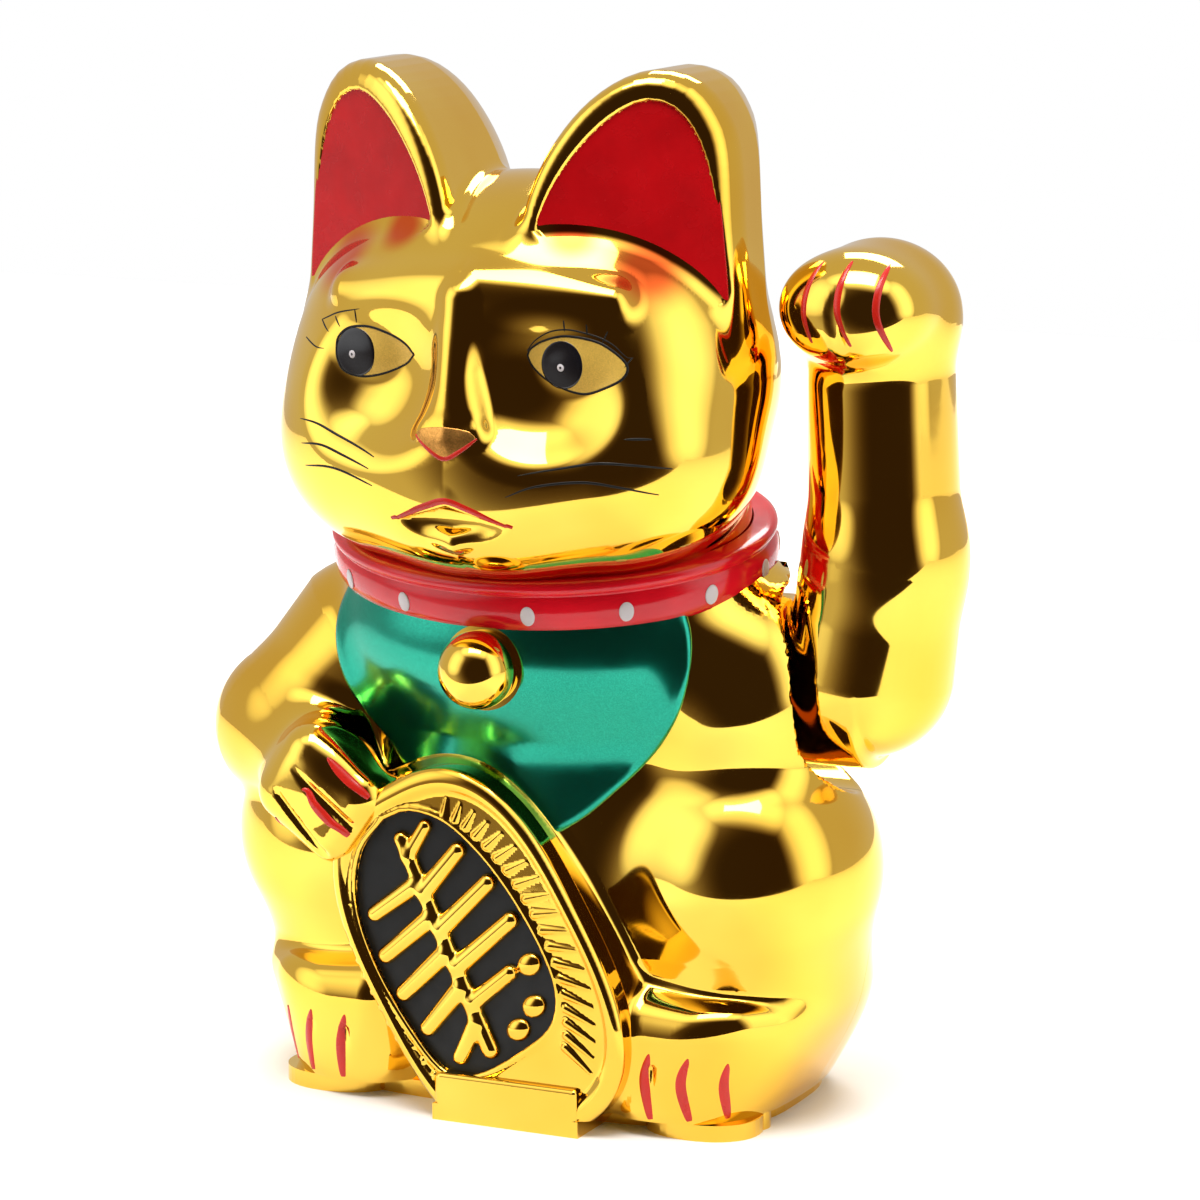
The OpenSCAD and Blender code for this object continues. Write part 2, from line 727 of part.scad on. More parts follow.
module capacitor() {
    color([0.1, 0.12, 0.3]) translate([lever_x + board_w / 2 - 3.4, part_y, coil_z]) {
        cylinder(d = 5, h = 7, $fn = 32);
        translate([0, 0, 7]) cylinder(d = 4.2, h = 0.3, $fn = 32);
    }
}

module resistor() {
    color([0.8, 0.68, 0.45]) translate([lever_x - 2, part_y - 1, coil_z + 1]) rotate([0, 90, 0])
        cylinder(d = 1.8, h = 4, $fn = 24);
    color([0.8, 0.8, 0.82]) for (x = [-2.8, 2])
        translate([lever_x + x, part_y - 1.25, coil_z]) cube([0.8, 0.5, 1.25]);
}

// ---------------------------------------------------------------- base and battery

lobe_r = [8.5, 7];
module footprint(grow = 0) {
    polygon(ellipse_pts([0, foot_line_y], [base_w / 2 + grow, foot_line_d / 2 + 1.2 + grow], 64, 3.4));
    for (s = [-1, 1]) polygon(ellipse_pts([s * (foot_x - 1), foot_y + 1.5], lobe_r + [grow, grow], 40, 2.2));
    translate([-8 - grow, coin_front_y - 1.2]) square([23 + 2 * grow, 14]);
}

rib_t = 1.6;
tongue = [4, 0.7];      // width and thickness of the tongue that guides the cover
module base_plate() {
    color([0.9, 0.68, 0.12]) {
        base_body();
        translate([-tongue.x / 2, bay_back - bay_wall, 0])
            cube([tongue.x, bay_y + cover_d / 2 + cover_travel + slide_gap - bay_back + bay_wall + 1, tongue.y]);
    }
}

module base_body() {
    difference() {
        union() {
            linear_extrude(base_t) footprint();
            translate([-bay_in.x / 2 - bay_wall, bay_y - bay_in.y / 2 - bay_wall, 0])
                cube([bay_in.x + 2 * bay_wall, bay_in.y + 2 * bay_wall, bay_in.z + bay_wall]);
            for (s = [-1, 1]) translate([lever_x + s * frame_foot_x, frame_foot_y, 0])
                cylinder(d = 7, h = frame_z, $fn = 32);
            translate([lever_x, board_screw_y, 0]) cylinder(d = boss_d, h = board_z, $fn = 32);
            translate([lever_x - board_w / 2 + 3, board_front + 1, bay_in.z]) cube([board_w - 6, rib_t, board_z - bay_in.z]);
            for (p = base_screw_at) translate([p.x, p.y, 0]) cylinder(d = boss_d, h = cup_z, $fn = 32);
        }
        translate([-bay_in.x / 2, bay_y - bay_in.y / 2, -1]) cube([bay_in.x, bay_in.y, bay_in.z + 1]);
        // recess that the cover slides in, with the undercut that holds its flanges
        translate([-cover_w / 2 - slide_gap, bay_y - cover_d / 2 - slide_gap, -1])
            cube([cover_w + 2 * slide_gap, cover_d + cover_travel + 2 * slide_gap, base_t - ledge_t + 1]);
        translate([-cover_w / 2 - flange - slide_gap, bay_y - cover_d / 2 - slide_gap, base_t - ledge_t - flange_t - 2 * slide_gap])
            cube([cover_w + 2 * flange + 2 * slide_gap, cover_d + cover_travel + 2 * slide_gap, flange_t + 2 * slide_gap]);
        for (p = base_screw_at) {
            translate([p.x, p.y, -1]) cylinder(d = screw_d + 2 * fit, h = 20, $fn = 24);
            translate([p.x, p.y, -1]) cylinder(d = head_screw_d + 4 * fit, h = 3, $fn = 24);
        }
        for (s = [-1, 1]) translate([lever_x + s * frame_foot_x, frame_foot_y, base_t])
            cylinder(d = screw_d + fit, h = 30, $fn = 24);
        translate([lever_x, board_screw_y, base_t]) cylinder(d = screw_d + fit, h = 30, $fn = 24);
        // notches that the battery leads leave the bay by
        for (s = [-1, 1]) translate([s * notch_x - 1, bay_back - 3, notch_z - 1]) cube([2, 5, 2]);
    }
}

module battery_cover() {
    z1 = base_t - ledge_t - slide_gap;
    color([0.85, 0.64, 0.12]) difference() {
        union() {
            translate([-cover_w / 2, bay_y - cover_d / 2, cover_lift]) cube([cover_w, cover_d, z1 - cover_lift]);
            translate([-cover_w / 2 - flange + slide_gap, bay_y - cover_d / 2, z1 - flange_t])
                cube([cover_w + 2 * flange - 2 * slide_gap, cover_d, flange_t]);
        }
        for (i = [0 : 3]) translate([-7, bay_y - 1 - 1.6 * i, -1]) cube([14, 0.7, 1 + cover_lift + 0.4]);
        // groove over the base's tongue, as long as the travel
        translate([-tongue.x / 2 - slide_gap, bay_y + cover_d / 2 - cover_travel - 2, -1])
            cube([tongue.x + 2 * slide_gap, cover_travel + 3, 1 + tongue.y + slide_gap]);
    }
}

module battery_cell() {
    color([0.15, 0.45, 0.35]) translate([cell_x, bay_y, cell_z]) rotate([0, 90, 0]) {
        cylinder(d = cell_d, h = cell_l, $fn = 48);
        cylinder(d = 5.5, h = cell_l + nub_l, $fn = 32);
    }
}

// coil spring against the closed end of the cell, each half turn leaning the other way
spring_r = 3.4;
half_turns = 6;
module contact_spring() {
    x0 = -bay_in.x / 2 + plate_t + 2 * fit + spring_d / 2;
    pitch = (cell_x - fit - spring_d / 2 - x0) / half_turns;
    ring_r = norm([spring_r, pitch / 2]);
    color([0.8, 0.8, 0.82]) for (i = [0 : half_turns - 1]) let (s = i % 2 == 0 ? 1 : -1)
        translate([x0 + (i + 0.5) * pitch, bay_y, cell_z]) rotate([0, 0, atan2(s * spring_r, -pitch / 2)])
            rotate([s * 90, 0, 0]) rotate_extrude(angle = 180, $fn = 32)
                translate([ring_r, 0]) circle(d = spring_d, $fn = 16);
}

module contact_plates() {
    color([0.8, 0.8, 0.82]) for (x = [-bay_in.x / 2 + fit, bay_in.x / 2 - plate_t - fit])
        translate([x, bay_y - plate_size.x / 2, cell_z - plate_size.y / 2]) cube([plate_t, plate_size.x, plate_size.y]);
}

lead_d = 1.1;
// a lead from one contact plate through its notch and round behind the frame, as if on the +X side
function lead_start() = let (x = bay_in.x / 2 - plate_t - fit - lead_d / 2, y = bay_y + bay_in.y / 2)
    [[x, y - 3.2, cell_z + 2], [x, y - 2.2, cell_z + 4.7], [notch_x + 0.3, y - 0.9, notch_z],
        [notch_x, bay_back + 0.4, notch_z], [notch_x, bay_back + 3, notch_z]];
function lead_end(s) = let (x = lever_x + s * board_w / 2, y = board_back - 2)
    [[x - s * 0.8, y, coil_z + 1.6], [x - s * 1.6, y, coil_z + 1.5], [x - s * 1.6, y, coil_z + 0.03]];
notch_x = bay_in.x / 2 - 2;
notch_z = bay_in.z - 2;

module battery_leads() {
    left = [for (p = lead_start()) [-p.x, p.y, p.z]];
    color([0.1, 0.1, 0.1]) tube(concat(left, [[-notch_x + 4, bay_back + 8, notch_z + 1.5],
        [lever_x - cheek_x - 13, board_back - 3.6, notch_z + 4.5],
        [lever_x - cheek_x - 3.6, board_back - 2.2, coil_z + 1.3]], lead_end(-1)), lead_d);
    color([0.75, 0.05, 0.05]) tube(concat(lead_start(), [[notch_x - 1.6, bay_back + 8, notch_z + 1.5],
        [lever_x + cheek_x + 4, frame_back + 0.5, notch_z + 4.2],
        [lever_x + cheek_x + 1, board_back - 2.2, coil_z + 1.1]], lead_end(1)), lead_d);
}

module shell_screws() {
    color([0.7, 0.71, 0.73]) for (p = shell_screw_at)
        translate([p.x, seam_y + seat_depth - shell_screw_l, p.y]) rotate([-90, 0, 0]) pan_screw(shell_screw_l);
}

module base_screws() {
    color([0.7, 0.71, 0.73]) for (p = base_screw_at)
        translate([p.x, p.y, 2 + base_screw_l]) rotate([180, 0, 0]) pan_screw(base_screw_l);
}

front_shell();
rear_shell();
base_plate();
battery_cover();
collar();
bib();
bell();
arm_front_half();
arm_rear_half();
arm_plug();
axle_pin();
axle_clips();
pendulum_lever();
magnet();
balance_weight();
movement_frame();
frame_screws();
coil_bobbin();
coil_winding();
circuit_board();
board_screw();
transistor();
capacitor();
resistor();
battery_cell();
contact_spring();
contact_plates();
battery_leads();
shell_screws();
base_screws();
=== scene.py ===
# %% [markdown]
# # A gold beckoning cat
# The real figure is a hollow plastic shell, vacuum metallised to a mirror gold, with a lacquered
# red collar, a green bib and a few strokes of paint. This lesson builds its looks round a finished
# CAD frame: the frame gives every place and size, and the script adds the soft, flowing skin,
# the paint, the light and the camera.

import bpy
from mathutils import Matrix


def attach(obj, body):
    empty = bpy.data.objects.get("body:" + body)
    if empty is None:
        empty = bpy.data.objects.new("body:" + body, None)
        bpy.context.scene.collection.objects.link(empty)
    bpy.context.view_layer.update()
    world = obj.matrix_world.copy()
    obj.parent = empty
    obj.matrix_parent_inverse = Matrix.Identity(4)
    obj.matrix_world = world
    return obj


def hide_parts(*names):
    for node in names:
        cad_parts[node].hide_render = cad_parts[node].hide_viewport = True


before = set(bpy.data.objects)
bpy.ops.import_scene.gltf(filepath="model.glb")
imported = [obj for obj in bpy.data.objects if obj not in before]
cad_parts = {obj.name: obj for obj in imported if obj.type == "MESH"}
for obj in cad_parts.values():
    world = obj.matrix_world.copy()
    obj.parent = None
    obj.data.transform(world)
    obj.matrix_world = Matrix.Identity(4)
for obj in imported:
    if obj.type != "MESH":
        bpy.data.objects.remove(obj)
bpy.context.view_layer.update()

# %% [markdown]
# ## Tools
# Blender's own modules, numpy for the fields, and two small functions that set what is selected.

# %% Tools used by every step
import math

import bmesh
import bpy
import numpy as np
import openvdb
from mathutils import Vector

MM = 0.001
BODY, ARM = "body", "arm"


def none_selected():
    if bpy.context.object and bpy.context.object.mode != "OBJECT":
        bpy.ops.object.mode_set(mode="OBJECT")
    bpy.ops.object.select_all(action="DESELECT")


def only(obj):
    none_selected()
    bpy.context.view_layer.objects.active = obj
    obj.select_set(True)
    return obj


none_selected()

# %% [markdown]
# ## Colours and node helpers
# Colours are written as sRGB hex values, as a paint chart would give them. Cycles works in linear
# light, so one function turns them over. One more function adds a node, sets it and links it.


# %% Colour and node helpers
def linear(code):
    channels = [int(code[i:i + 2], 16) / 255 for i in (1, 3, 5)]
    return tuple(c / 12.92 if c <= 0.04045 else ((c + 0.055) / 1.055) ** 2.4 for c in channels) + (1.0,)


def node(tree, kind, links=(), **settings):
    """Adds a node; a setting is a property, or in_N for input N; links are (input, source socket)."""
    made = tree.nodes.new(kind)
    for name, value in settings.items():
        if name.startswith("in_"):
            key = name[3:]
            made.inputs[int(key) if key.isdigit() else key.replace("_", " ")].default_value = value
        else:
            setattr(made, name, value)
    for key, source in links:
        tree.links.new(source, made.inputs[key])
    return made


def new_material(name, **inputs):
    """A material with its shader inputs set; an input's name is written with _ for a space."""
    material = bpy.data.materials.new(name)
    material.use_nodes = True
    tree = material.node_tree
    shader = next(n for n in tree.nodes if n.type == "BSDF_PRINCIPLED")
    for key, value in inputs.items():
        shader.inputs[key.replace("_", " ")].default_value = value
    where = node(tree, "ShaderNodeTexCoord").outputs["Object"]
    return material, tree, shader, where


def mottle(tree, where, size_mm, low, high, detail=2.0):
    """Soft noise of a given grain in millimetres, mapped to the range low to high."""
    noise = node(tree, "ShaderNodeTexNoise", [("Vector", where)],
                 in_Scale=1 / (size_mm * MM), in_Detail=detail)
    return node(tree, "ShaderNodeMapRange", [("Value", noise.outputs["Fac"])], in_1=0.3, in_2=0.7,
                in_3=low, in_4=high).outputs["Result"]


def two_tone(tree, shader, share, first, second):
    """Base colour between two colours by a share from 0 to 1."""
    tone = node(tree, "ShaderNodeMixRGB", [("Fac", share)], in_Color1=first, in_Color2=second)
    tree.links.new(tone.outputs["Color"], shader.inputs["Base Color"])


def shade(colour, factor):
    """A darker version of a hex colour, in linear light."""
    return tuple(c * factor for c in linear(colour)[:3]) + (1.0,)


def drift(tree, shader, where, size_mm, colour, factor):
    """Base colour that drifts between a hex colour and a darker version of it."""
    two_tone(tree, shader, mottle(tree, where, size_mm, 0, 1), linear(colour), shade(colour, factor))


def rough(tree, shader, where, size_mm, low, high, detail=2.0):
    """Roughness that drifts between two values."""
    tree.links.new(mottle(tree, where, size_mm, low, high, detail), shader.inputs["Roughness"])


def bump(tree, shader, height, distance_mm, strength=0.5):
    made = node(tree, "ShaderNodeBump", [("Height", height)],
                in_Strength=strength, in_Distance=distance_mm * MM)
    tree.links.new(made.outputs["Normal"], shader.inputs["Normal"])


# %% [markdown]
# ## Mirror gold
# Vacuum metallised ABS: a film of aluminium under yellow lacquer. It is a true mirror with a warm
# tint, and its only texture is a very slow orange peel from the lacquer, with a faint haze in
# patches. A painted red reflection of the ear linings fades out over the brow just under each ear.

# %% Gold finishes
GOLD = "#F9D25C"
GOLD_DEEP = "#F0BE46"


def metallised_gold(name, painted_red_reflection=()):
    material, tree, shader, where = new_material(name, Metallic=1.0)
    tone = node(tree, "ShaderNodeMixRGB", [("Fac", mottle(tree, where, 24, 0, 1))],
                in_Color1=linear(GOLD), in_Color2=linear(GOLD_DEEP)).outputs["Color"]
    # each place gets a painted red reflection of an ear lining, fading out from the place
    for at, radius in painted_red_reflection:
        gap = node(tree, "ShaderNodeVectorMath", [(0, where)], operation="DISTANCE",
                   in_1=[v * MM for v in at]).outputs["Value"]
        amount = node(tree, "ShaderNodeMapRange", [("Value", gap)], interpolation_type="SMOOTHSTEP",
                      in_1=radius * MM, in_2=radius * 0.3 * MM, in_3=0.0, in_4=0.8).outputs["Result"]
        tone = node(tree, "ShaderNodeMixRGB", [("Fac", amount), ("Color1", tone)],
                    in_Color2=linear("#E5231A")).outputs["Color"]
    tree.links.new(tone, shader.inputs["Base Color"])
    rough(tree, shader, where, 9, 0.035, 0.075)
    bump(tree, shader, mottle(tree, where, 5.5, 0, 1, 0.0), 0.02, 0.25)
    return material


shell_gold = metallised_gold("metallised_abs_gold")
# painted red reflections of the ear linings on the brow, just under each ear
head_gold = metallised_gold("metallised_abs_gold_head", [((-24, -25, 124), 8), ((-13, -27, 128), 5),
                                                         ((24, -25, 124), 8), ((13, -27, 128), 5)])
print("gold finishes:", shell_gold.name, head_gold.name)

# %% [markdown]
# ## Paints
# The collar is sprayed with glossy red enamel, the bib with a satin green that holds fine metal
# flake, and the strokes are put on with a brush or a pad: red, black, white and pale satin gold.


# %% Paint finishes
def enamel(name, colour, roughness, coat=0.6):
    material, tree, shader, where = new_material(
        name, Coat_Weight=coat, Specular_IOR_Level=0.3, Coat_Roughness=0.05)
    drift(tree, shader, where, 7, colour, 0.8)
    rough(tree, shader, where, 3, roughness * 0.8, roughness * 1.2)
    bump(tree, shader, mottle(tree, where, 1.6, 0, 1), 0.015, 0.3)
    return material


def flake_paint(name, colour, roughness, flake_mm=0.12, coat=0.0, metal=0.85):
    """Satin paint with metal flake: mostly metallic, each flake a shade lighter or darker."""
    material, tree, shader, where = new_material(
        name, Metallic=metal, Coat_Weight=coat, Coat_Roughness=0.12)
    cells = node(tree, "ShaderNodeTexVoronoi", [("Vector", where)], in_Scale=1 / (flake_mm * MM))
    light = tuple(min(c * 1.25 + 0.01, 1) for c in linear(colour)[:3]) + (1.0,)
    two_tone(tree, shader, cells.outputs["Color"], shade(colour, 0.8), light)
    rough(tree, shader, where, 4, roughness * 0.9, roughness * 1.1)
    return material


red_enamel = enamel("red_enamel_gloss", "#EE1528", 0.16, coat=0.35)
lining_red = enamel("red_lacquer_ear_lining", "#D01018", 0.25, coat=0.05)
stroke_red = enamel("red_brush_paint", "#D8281C", 0.3, coat=0.3)
stroke_black = enamel("black_pad_print", "#0E0B08", 0.5, coat=0.0)
pupil_black = enamel("black_gloss_pupil", "#15151A", 0.12)
dot_white = enamel("white_dot_paint", "#E9E2E4", 0.4, coat=0.1)
bib_green = flake_paint("green_flake_paint", "#0C9A80", 0.2, coat=0.35, metal=0.95)
eye_gold = flake_paint("pale_satin_gold_paint", "#E8BC50", 0.42, 0.08, metal=0.3)
nose_gold = flake_paint("satin_bronze_paint", "#D79A4A", 0.3, 0.2)
recess_black = enamel("black_recess_paint", "#16181A", 0.45, coat=0.0)
print("paints:", ", ".join(paint.name for paint in (
    red_enamel, lining_red, stroke_red, stroke_black, pupil_black, dot_white, bib_green, eye_gold,
    nose_gold, recess_black)))

# %% [markdown]
# ## The skin as a distance field
# A moulded cat has no flat faces to extrude from: haunch, arm and chest flow into each other. Such
# a form is made best as a field that says how far each point in space is from the surface. Simple
# forms blend with a soft minimum, and the surface is drawn where the field is zero. Each vertex is
# then moved onto the exact zero and given the field's own slope as its normal, so the gold mirrors
# smoothly. Distances here are in millimetres.


# %% Field pieces
def blend(a, b, k):
    """Soft minimum: the union of two forms with a fillet of about k."""
    h = np.maximum(k - np.abs(a - b), 0) / k
    return np.minimum(a, b) - h * h * k * 0.25


def carve(a, b, k):
    """Soft difference: form a with form b taken away."""
    return -blend(-a, b, k)


def keep(a, b, k):
    """Soft intersection."""
    return -blend(-a, -b, k)


def turned(p, at, turn=(0, 0, 0)):
    """The points in a form's own axes, for a form at a place and turned by degrees about X, Y, Z."""
    x, y, z = (p[0] - at[0], p[1] - at[1], p[2] - at[2])
    rx, ry, rz = (math.radians(-t) for t in turn)
    if rz:
        x, y = x * math.cos(rz) - y * math.sin(rz), x * math.sin(rz) + y * math.cos(rz)
    if ry:
        x, z = x * math.cos(ry) + z * math.sin(ry), -x * math.sin(ry) + z * math.cos(ry)
    if rx:
        y, z = y * math.cos(rx) - z * math.sin(rx), y * math.sin(rx) + z * math.cos(rx)
    return x, y, z


def egg(p, at, r, turn=(0, 0, 0)):
    """An ellipsoid with a radius along each axis."""
    x, y, z = turned(p, at, turn)
    k0 = np.sqrt((x / r[0]) ** 2 + (y / r[1]) ** 2 + (z / r[2]) ** 2) + 1e-6
    k1 = np.sqrt((x / r[0] ** 2) ** 2 + (y / r[1] ** 2) ** 2 + (z / r[2] ** 2) ** 2) + 1e-6
    return k0 * (k0 - 1) / k1


def limb(p, a, b, ra, rb, flat=(1, 1, 1)):
    """A tapering limb with round ends from a to b, flattened along an axis by flat."""
    x, y, z = (p[i] / flat[i] - a[i] / flat[i] for i in range(3))
    d = [(b[i] - a[i]) / flat[i] for i in range(3)]
    t = np.clip((x * d[0] + y * d[1] + z * d[2]) / sum(v * v for v in d), 0, 1)
    gap = np.sqrt((x - t * d[0]) ** 2 + (y - t * d[1]) ** 2 + (z - t * d[2]) ** 2)
    return (gap - (ra + (rb - ra) * t)) * min(flat)


def block(p, at, half, r, turn=(0, 0, 0)):
    """A box with rounded edges."""
    q = [np.abs(v) - (h - r) for v, h in zip(turned(p, at, turn), half)]
    outside = np.sqrt(sum(np.maximum(v, 0) ** 2 for v in q))
    return outside + np.minimum(np.maximum(np.maximum(q[0], q[1]), q[2]), 0) - r


def flat_shape(a, b, points):
    """Distance in a plane to a polygon, negative inside. a and b are the plane's two coordinates."""
    best = None
    inside = np.ones(np.broadcast(a, b).shape, bool) * False
    for i, (ax, ay) in enumerate(points):
        bx, by = points[i - 1]
        ex, ey = bx - ax, by - ay
        wx, wy = a - ax, b - ay
        t = np.clip((wx * ex + wy * ey) / (ex * ex + ey * ey), 0, 1)
        d2 = (wx - ex * t) ** 2 + (wy - ey * t) ** 2
        best = d2 if best is None else np.minimum(best, d2)
        upward = (b >= ay) & (b < by) & (ex * wy > ey * wx)
        downward = (b < ay) & (b >= by) & (ex * wy < ey * wx)
        inside = inside ^ (upward | downward)
    return np.sqrt(best) * np.where(inside, -1, 1)


def mirrored(p):
    """The points folded onto the +X side, for what comes in pairs."""
    return np.abs(p[0]), p[1], p[2]


# %% [markdown]
# ## The seated body
# Chest and belly are one deep form. On it sit two haunches like balls, each with a boot-like foot
# whose flat top makes a ledge, the shoulders, and the cat's right arm, which bends at the elbow
# and lays its paw over the coin.

# %% Body field
SEAM_Y = 2.0
PIVOT = (35.0, 2.0, 62.5)
OPENING_R = 15.5
ROOT_R = 12
ARM_FORWARD = 18.0
HEAD_AT = (0, -11.0, 106.5)
COLLAR_AT = (0, -5, 80.6)
COLLAR_TILT = 12
COIN_AT = (-1.5, -28.2, 24)
COIN_TURN = math.radians(30)
COIN_HALF = (18.0, 28.0)
CLAWS = [(24.4, 2.8), (30.2, 3.0), (35.6, 3.5)]
PAW_CREASES = [((-28.5, -31.9, 49.5), (-20.2, -30.6, 41.8)), ((-31.6, -31.2, 45.8), (-25.2, -30.2, 37.4))]


def from_axle(p):
    """Distance from the line of the raised arm's axle."""
    return np.sqrt((p[1] - PIVOT[1]) ** 2 + (p[2] - PIVOT[2]) ** 2)


def neck_field(p, half):
    """The stump that the collar ring sits round."""
    x, y, z = turned(p, COLLAR_AT, (COLLAR_TILT, 0, 0))
    return np.maximum(oval(x, y, half, 2), np.abs(z - 3) - 13)


def torso_field(p):
    f = limb(p, (0, 0.5, 30), (0, -3, 60), 39, 31, (1, 0.62, 0.9))
    f = blend(f, egg(p, (0, -4.5, 69), (33, 23.5, 15)), 8)
    f = blend(f, block(p, (0, 0.9, 8), (35, 20, 12), 9), 6)
    return blend(f, neck_field(p, (30.6, 22.6)), 3)


def leg_field(p):
    q = mirrored(p)
    haunch = egg(q, (31.5, -4.5, 36), (18.3, 19.5, 19), (0, -6, 0))
    rear = egg(q, (29, 1, 15), (18, 19, 19))
    foot = keep(block(q, (31.5, -9.5, 9.3), (14, 15.6, 10.2), 5.0), foot_side(q), 5)
    hip = keep(blend(haunch, rear, 7), -(p[2] + 4), 1)
    return keep(blend(hip, foot, 1.5), q[0] - 38.2 - (p[2] - 2.4) * 0.6, 6)


def foot_side(q):
    """The leaning outer side of the foot, which cuts its front corner off."""
    return (q[0] - 45.5) * 0.74 - (q[1] + 12.5) * 0.62 - (q[2] - 19) * 0.2


def toes_field(p):
    """Three shallow grooves on the front of each foot, where the claws are painted."""
    q = mirrored(p)
    f = None
    for x, low in CLAWS:
        g = limb(q, (x - 0.2, -27.4, low - 1.5), (x, -24.9, low + 7.5), 1.0, 0.4)
        f = g if f is None else np.minimum(f, g)
    return f


def arm_down_field(p):
    upper = limb(p, (-29.5, -3.5, 61), (-39.5, -8.5, 52), 15.5, 11.6, (1, 1.05, 1))
    fore = limb(p, (-40, -10.5, 51), (-27.5, -23.5, 47.5), 11.2, 7.5)
    f = blend(upper, fore, 4)
    paw = block(p, (-26.4, -26.0, 45.6), (9.2, 5.0, 8.0), 4.6, (0, 35, 0))
    f = blend(f, paw, 2.6)
    for a, b in PAW_CREASES:
        f = carve(f, limb(p, a, b, 0.3, 0.8), 0.8)
    return f


def shoulder_field(p):
    return egg(p, (29, -1.5, 61), (16.3, 18, 18))


def coin_axes(p):
    """The coin's own axes: across it, along it, and out of its face."""
    c, s = math.cos(COIN_TURN), math.sin(COIN_TURN)
    x, z = p[0] - COIN_AT[0], p[2] - COIN_AT[2]
    return x * c + z * s, z * c - x * s, COIN_AT[1] - p[1]


def oval(a, b, half, power=2.8):
    """A flat oval, squarer as the power goes up."""
    k = ((np.abs(a) / half[0]) ** power + (np.abs(b) / half[1]) ** power) ** (1 / power)
    return (k - 1) * min(half)


def coin_back_field(p):
    """The body behind the coin: the coin's thickness with a faceted flare into the belly."""
    a, b, out = coin_axes(p)
    f = keep(oval(a, b, (17.6, 27.6)) + np.maximum(-out - 3, 0) * -0.25, out + 2.4, 0.8)
    f = keep(f, -out - 13, 1)
    plinth = block(p, (3.5, -20, 3), (11.3, 9.4, 4), 0.7)
    return blend(f, plinth, 1.2)


def arm_bulk_field(p):
    """Elbow and forearm of the raised arm. The body makes way for them where they swing forward."""
    elbow = limb(p, (46.3, 1, 64.8), (49.3, 0.0, 82), 12.4, 11.4)
    fore = limb(p, (49.2, 0, 80), (48.6, -1.2, 112), 11.0, 10.3, (1, 0.98, 1))
    return blend(elbow, fore, 3)


def body_field(p):
    f = blend(torso_field(p), leg_field(p), 6)
    f = blend(f, shoulder_field(p), 5)
    f = blend(f, arm_down_field(p), 1.6)
    f = blend(f, coin_back_field(p), 1.4)
    f = carve(f, toes_field(p), 0.7)
    hole = np.maximum(from_axle(p) - OPENING_R, 22 - p[0])
    f = carve(f, hole, 0.5)
    x, y, z = turned(p, PIVOT, (ARM_FORWARD, 0, 0))
    swung = (x + PIVOT[0], y + PIVOT[1], z + PIVOT[2])
    return carve(f, arm_bulk_field(swung) - 0.5, 0.5)


print("seam at y =", SEAM_Y, "mm, arm axle at", PIVOT)


# %% [markdown]
# ## The head
# A wide, slightly flattened ball. The face is folk carving rather than anatomy: a straight brow,
# shallow eye sockets, a long wedge of a nose that ends in a small lozenge, puffed cheeks, and an
# open mouth under a peaked upper lip. The ears are thick arches with a rolled rim and a sunk lining.

# %% Head field
EAR_ARCH = [(7.0, 124), (8.2, 131.5), (10.6, 137.6), (14.2, 143), (18.2, 146.5), (22.2, 147.9),
            (26.2, 146.8), (29.0, 143.2), (30.4, 138.4), (31.0, 128), (31.8, 118), (32.6, 110),
            (20, 108)]
EAR_LINING = [(8.0, 128.5), (9.8, 133.4), (12.4, 138.0), (15.8, 142.2), (19.2, 145.0), (22.4, 146.2),
              (25.6, 145.2), (28.2, 141.8), (29.9, 136.5), (31.2, 128), (32.1, 118), (31, 112),
              (14, 118)]


def smooth_line(points, step=0.45):
    """A flowing line through points, as evenly spaced places."""
    pts = np.array(points, float)
    line = pts
    if len(pts) > 2:
        padded = np.vstack([2 * pts[0] - pts[1], pts, 2 * pts[-1] - pts[-2]])
        t = np.linspace(0, 1, 12, endpoint=False)[:, None]
        runs = []
        for a, b, c, d in zip(padded, padded[1:], padded[2:], padded[3:]):
            bend = (2 * a - 5 * b + 4 * c - d) * t ** 2 + (3 * b - a - 3 * c + d) * t ** 3
            runs.append(0.5 * (2 * b + (c - a) * t + bend))
        line = np.vstack(runs + [pts[-1:]])
    along = np.concatenate([[0], np.cumsum(np.linalg.norm(np.diff(line, axis=0), axis=1))])
    places = np.linspace(0, along[-1], max(int(along[-1] / step), 4) + 1)
    return np.stack([np.interp(places, along, line[:, i]) for i in range(pts.shape[1])], 1)


EAR_ARCH = smooth_line(EAR_ARCH[:-1], 1.5).tolist() + [EAR_ARCH[-1]]
EAR_LINING = smooth_line(EAR_LINING[:-1], 1.8).tolist() + [EAR_LINING[-1]]
print("ear outlines:", len(EAR_ARCH), "and", len(EAR_LINING), "points")


def ear_front(q):
    """How far a point stands in front of the plane of an ear's lining."""
    return (-27.4 + (q[0] - 9) * 0.42 - q[1]) / 1.085


def ear_field(p):
    q = mirrored(p)
    back = np.clip((q[1] + 8) / 18, 0, 1)
    arch = flat_shape(q[0], q[2] + back * back * 6 - back * 6.5, EAR_ARCH) - 2.4 + back * 8
    front = ear_front(q) - 0.6
    f = keep(arch, front, 4.2)
    f = keep(f, q[1] - 13 + (q[2] - 120) * 0.28, 8)
    lining = np.maximum(flat_shape(q[0], q[2], EAR_LINING), -ear_front(q))
    return carve(f, lining, 0.9)


